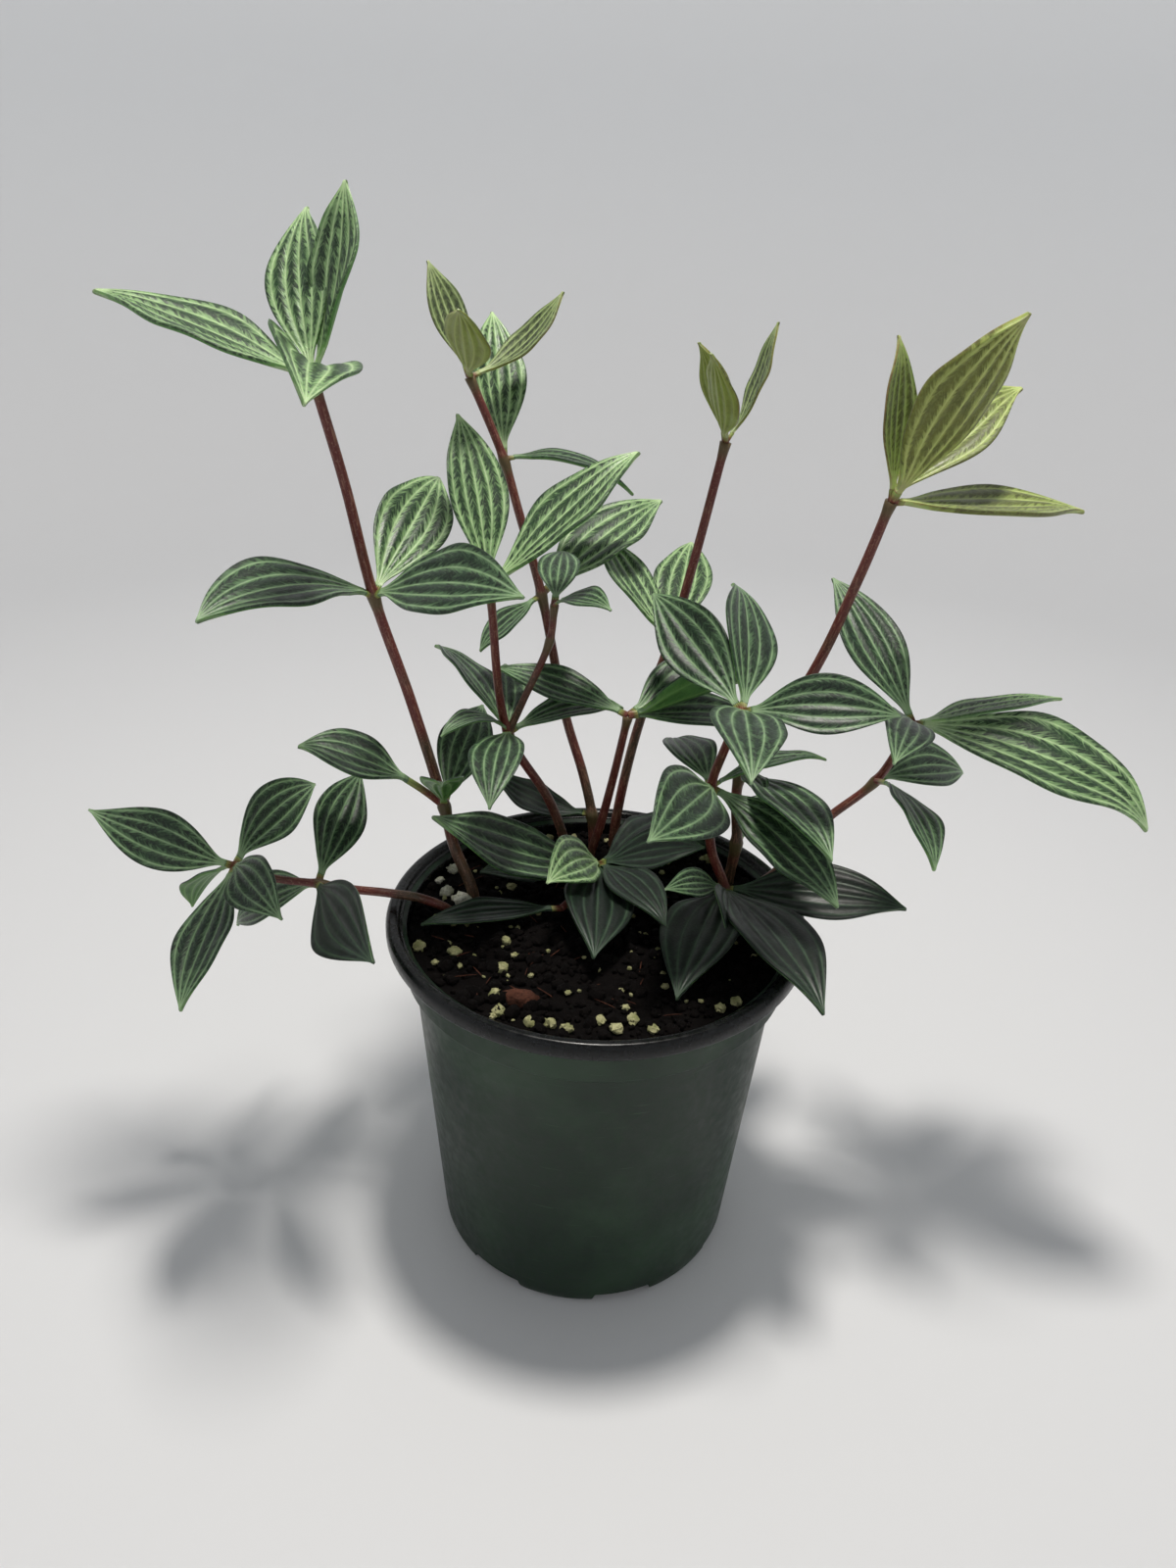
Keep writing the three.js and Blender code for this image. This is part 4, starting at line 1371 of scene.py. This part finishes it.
@dataclass
class Studio:
    """A plain pale floor that curves up to a round wall, one soft lamp nearly overhead, and the camera."""

    camera_place: Triple = (-0.0006, -0.2736, 0.2913)  # metres
    yaw: float = -0.7
    pitch: float = 28.2
    roll: float = 2.4
    lens: float = 27.45
    room_radius: float = 1.0  # metres
    room_bend: float = 0.35
    room_height: float = 1.5
    room_sides: int = 96
    bend_steps: int = 12
    lamp_place: Triple = (0.005, 0.035, 0.8)  # metres
    lamp_radius: float = 0.055
    lamp_power: float = 17.5  # watts
    lamp_colour: str = "#fffaf3"
    sky_colour: str = "#e6ebf2"
    sky_strength: float = 0.17

    def build(self) -> None:
        """Makes the camera, the floor and the lights."""
        self._camera()
        self._room()
        data = bpy.data.lights.new("lamp_above", "POINT")
        data.shadow_soft_size = self.lamp_radius
        data.energy = self.lamp_power
        data.color = linear(self.lamp_colour)[:3]
        new_object("lamp_above", data).location = self.lamp_place
        world = bpy.data.worlds.new("pale_room")
        world.use_nodes = True
        sky = world.node_tree.nodes["Background"].inputs
        sky["Color"].default_value = linear(self.sky_colour)
        sky["Strength"].default_value = self.sky_strength
        bpy.context.scene.world = world
        bpy.context.scene.view_settings.view_transform = "Standard"

    def _camera(self) -> None:
        """Places the camera."""
        yaw, pitch, roll = (math.radians(a) for a in (self.yaw, self.pitch, self.roll))
        ahead = Vector((math.sin(yaw) * math.cos(pitch), math.cos(yaw) * math.cos(pitch), -math.sin(pitch)))
        level = Vector((math.cos(yaw), -math.sin(yaw), 0))
        upright = level.cross(ahead)
        right = level * math.cos(roll) + upright * math.sin(roll)
        up = upright * math.cos(roll) - level * math.sin(roll)
        data = bpy.data.cameras.new("camera")
        data.lens = self.lens
        data.sensor_width = 36.0
        data.clip_start = 0.01
        camera = new_object("camera", data)
        turn = Matrix((right, up, -ahead)).transposed().to_4x4()
        camera.matrix_world = Matrix.Translation(self.camera_place) @ turn
        bpy.context.scene.camera = camera

    def _room(self) -> None:
        """Draws the floor out from a disc, round a bend and up a wall."""
        rings = [(self.room_radius - self.room_bend, 0.0)]
        for step in range(1, self.bend_steps + 1):
            turn = 0.5 * math.pi * step / self.bend_steps
            out, up = (self.room_bend * (1 - c) for c in (math.sin(turn), math.cos(turn)))
            rings.append((self.room_radius - out, up))
        room = draw_rings([*rings, (self.room_radius, self.room_height)], self.room_sides, unit=1.0)
        room.name = "pale_floor"
        bpy.ops.mesh.delete(type="ONLY_FACE")
        bpy.ops.mesh.select_all(action="DESELECT")
        bpy.ops.object.mode_set(mode="OBJECT")
        bpy.ops.object.shade_smooth_by_angle(angle=math.radians(20))
        # The wall's colour is greyer than the floor's as painted shade.
        board = PaintedBoard("pale_painted_board", "#dfe0e2", "#cdd0d4", self.room_bend)
        room.data.materials.append(board.make())


# ---------------------------------------------------------------- the plant's shoots
# Joints in millimetres, lettered by shoot and numbered from the soil up.

A1, A2, A3 = (-44, 16, 127), (-60, 12, 189), (-70, 6, 242)
B1, B2 = (-77, 1, 109), (-98, -3, 116)
C1, C2, C3 = (-27, 25, 146), (-31, 15, 191), (-15, 25, 184)
D0, D1, D2, D3 = (-3, 42, 112), (-20, 50, 178), (-31, 52, 215), (-40, 52, 236)
E1 = (6, 25, 153)
F1, F3 = (17, 45, 167), (28, 48, 223)
G0, G1, G2 = (39, 22, 116), (38, 22, 138), (65, 10, 219)
H0, H1, H2 = (36, 14, 105), (29, 10, 140), (34, 2, 166)
I1, I2 = (75, 20, 139), (81, 15, 159)
K1, K2 = (0, 19, 108), (-10, 2, 104)

# Each shoot's name and age, its stems from the soil up, and its leaves by joint.
SHOOTS = [
    Shoot("tall_left_shoot", MATURE, [
        Stem(((-35, 9, 88), (-35, 9, 102), (-41, 12, 117), A1, (-52, 14, 160), A2, (-65, 9, 218), A3),
             (1.7, 1.2), (3, 5, 7)),
    ], [
        (A1, [Leaf(-174, 44, 30, 20, 34, -10, petiole=14), Leaf(-83, 57, 25, 12, 30, cup=0.4),
              Leaf(80, 30, 39, 16, 21, 16)]),
        (A2, [Leaf(-138, 28, 49, 22, 42, -14, turn=18), Leaf(71, 35, 47, 20, 22, 29, turn=9, age=BRIGHT),
              Leaf(-36, 26, 48, 21, 25, 39)]),
        (A3, [Leaf(166, 19, 52, 23, 3, -5, turn=6, age=BRIGHT), Leaf(117, 61, 43, 17, 26, -30, turn=-28, age=BRIGHT),
              Leaf(35, 66, 40, 18, -8, -25, turn=60, cup=0.3, age=BRIGHT),
              Leaf(-78, 29, 45, 21, 50, -26, cup=0.5, age=BRIGHT)]),
    ]),
    Shoot("low_left_shoot", MATURE, [
        Stem(((-40, 1, 88), (-40, 1, 101), (-48, -1, 107), (-57, -2, 109), (-67, -1, 109), B1, (-88, -2, 112), B2),
             (1.4, 1.0), (5, 7)),
    ], [
        (B1, [Leaf(85, 31, 37, 16, 13, 41, turn=-9), Leaf(-66, 13, 43, 20, 16, 52, turn=11, age=OLD),
              Leaf(157, -21, 38, 16, 32, -40)]),
        (B2, [Leaf(-158, 28, 37, 16, -9, -60, turn=-9), Leaf(85, 19, 41, 16, 27, 55, turn=-27),
              Leaf(-65, 30, 33, 15, 50, 40, turn=20), Leaf(-96, -16, 41, 17, 13, 20), Leaf(141, -24, 34, 14, 40)]),
    ]),
    Shoot("forked_shoot", MATURE, [
        Stem(((-9, 30, 88), (-9, 30, 102), (-15, 28, 123), C1, C2), (1.6, 1.1), (3, 4)),
        Stem((C1, (-23, 25, 156), (-16, 25, 174), C3), (1.1, 0.9), (2, 3)),
    ], [
        (C1, [Leaf(123, 34, 40, 17, 33, 28, turn=8), Leaf(-138, 60, 23, 9, 95), Leaf(-92, 23, 37, 15, 55, 4),
              Leaf(23, 28, 33, 13, 44, 7), Leaf(97, 25, 29, 13, 20)]),
        (C2, [Leaf(112, 64, 45, 17, 21, 10, age=BRIGHT), Leaf(25, 44, 50, 21, 13, 3, turn=13, age=BRIGHT)]),
        (C3, [Leaf(89, 20, 29, 12, 20), Leaf(-51, 38, 22, 9, 47, 19)]),
    ]),
    Shoot("tall_back_shoot", YOUNG, [
        Stem(((-2, 40, 88), (-2, 40, 101), D0, (-6, 44, 124), (-12, 47, 142), D1, (-27, 51, 202), D2, D3),
             (1.6, 1.1), (2, 5, 7, 8)),
    ], [
        (D0, [Leaf(172, -5, 31, 13, -45, -15, turn=-10, age=OLD)]),
        (D1, [Leaf(45, 31, 51, 22, 20, 10, turn=5, age=BRIGHT), Leaf(-150, -30, 21, 13, 10, age=MATURE)]),
        (D2, [Leaf(102, 65, 42, 16, 29, 16, age=BRIGHT), Leaf(15, 10, 37, 15, 52, age=MATURE)]),
        (D3, [Leaf(141, 61, 28, 11, 0, -15, age=TENDER), Leaf(-88, 37, 27, 14, -10, -30, age=TENDER),
              Leaf(26, 17, 31, 12, -45, 10, age=TENDER)]),
    ]),
    Shoot("middle_shoot", MATURE, [
        Stem(((-3, 31, 88), (-3, 31, 102), (0, 30, 116), (3, 28, 133), E1), (1.5, 1.1), (4,)),
    ], [
        (E1, [Leaf(156, 15, 38, 15, 10, -12, turn=8), Leaf(12, 18, 33, 21, 0, -15, cup=0.9),
              Leaf(42, 22, 31, 13, 5, 20), Leaf(20, 0, 39, 16, 14, 14)]),
    ]),
    Shoot("tall_middle_shoot", YOUNG, [
        Stem(((4, 42, 88), (4, 42, 102), (5, 43, 114), (10, 44, 143), F1, (22, 47, 190), F3), (1.6, 1.2), (4, 6)),
    ], [
        (F1, [Leaf(128, 36, 43, 18, 14, 17, turn=-10, age=BRIGHT), Leaf(81, 27, 44, 18, 9, age=BRIGHT),
              Leaf(55, -1, 34, 14, 34, 40, age=MATURE)]),
        (F3, [Leaf(-137, 72, 25, 10, 9, 18, turn=-21, age=TENDER), Leaf(-106, 43, 32, 13, -10, -39, age=TENDER),
              Leaf(33, 46, 30, 11, -40, -25, turn=11, age=TENDER)]),
    ]),
    Shoot("tall_right_shoot", YOUNG, [
        Stem(((38, 23, 88), (38, 23, 102), G0, G1, (53, 18, 170), (61, 14, 199), G2), (1.7, 1.2), (2, 3, 6)),
    ], [
        (G0, [Leaf(62, 10, 37, 16, 20, -22, age=MATURE)]),
        (G1, [Leaf(-65, 20, 45, 19, 40, -11, age=MATURE), Leaf(-78, 31, 19, 7, 40, age=MATURE)]),
        (G2, [Leaf(121, 83, 34, 12, 0, 10), Leaf(-39, 63, 48, 21, 0, -27), Leaf(51, 40, 47, 20, 25, 25, turn=-25),
              Leaf(19, -6, 53, 23, -5, 3)]),
    ]),
    Shoot("front_right_shoot", MATURE, [
        Stem(((35, 14, 88), (35, 14, 98), H0, (31, 13, 119), H1, (31, 6, 153), H2), (1.6, 1.1), (2, 4, 6)),
    ], [
        (H0, [Leaf(-107, 19, 51, 22, 38, 6, age=OLD), Leaf(-73, 19, 57, 23, 34, -8, turn=8, age=OLD),
              Leaf(-15, 14, 48, 20, 18, 22, turn=5, age=OLD), Leaf(-91, 30, 31, 13, 45, -40, age=OLD),
              Leaf(-141, 39, 22, 9, 38, -43)]),
        (H1, [Leaf(-100, 25, 47, 22, 29, -37, turn=-23), Leaf(-37, -9, 44, 19, 33, 14), Leaf(105, 16, 34, 15, 40),
              Leaf(9, 36, 30, 13, 42, -14)]),
        (H2, [Leaf(118, 27, 45, 18, 10, -45, turn=8), Leaf(77, 37, 46, 19, 25, 38, turn=25),
              Leaf(-19, 24, 37, 16, 35, 52, turn=15), Leaf(-92, 29, 42, 19, 50, -9)]),
    ]),
    Shoot("far_right_shoot", MATURE, [
        Stem(((42, 16, 88), (42, 16, 101), (51, 19, 109), (63, 20, 126), I1, I2), (1.5, 1.1), (4, 5)),
    ], [
        (I1, [Leaf(-80, 28, 37, 16, 60, -30, petiole=9), Leaf(34, 10, 36, 16, 40, 35)]),
        (I2, [Leaf(120, 43, 46, 17, 15, -16), Leaf(22, 6, 45, 16, 6, -14, age=BRIGHT),
              Leaf(-26, 8, 63, 27, 36, 16, hook=25, age=BRIGHT), Leaf(-110, 36, 32, 14, 60, -21)]),
    ]),
    Shoot("low_middle_shoot", OLD, [
        Stem(((1, 19, 88), (1, 19, 98), K1), (1.5, 1.2), (2,)),
        Stem(((1, 19, 104), (-4, 11, 105), K2), (1.1, 1.0), ()),
    ], [
        (K1, [Leaf(-154, 15, 53, 23, -28, -20, age=MATURE), Leaf(-113, 46, 34, 16, 50, -42, age=BRIGHT),
              Leaf(-90, 13, 43, 20, 22, -14), Leaf(-60, 24, 35, 15, 40), Leaf(-16, 35, 30, 14, 24, 30),
              Leaf(48, 8, 39, 17, 10), Leaf(-179, 4, 32, 13, 20, -25)]),
        (K2, [Leaf(-165, 6, 36, 12, 12)]),
    ]),
]  # fmt: skip
SHOOT_SEED_STEP = 1000


def main() -> None:
    """Builds the potted plant and its studio in order, and reports each piece."""
    logging.basicConfig(level=logging.INFO, format="%(message)s")
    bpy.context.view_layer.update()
    Studio().build()
    NurseryPot().build()
    PottingSoil().build()
    finishes = PlantFinishes()
    pattern = LeafPattern()
    pattern.build()
    for number, shoot in enumerate(SHOOTS, 1):
        shoot.build(pattern, finishes, SHOOT_SEED_STEP * number)
    bpy.data.objects.remove(pattern.flat)


if __name__ == "__main__":
    main()
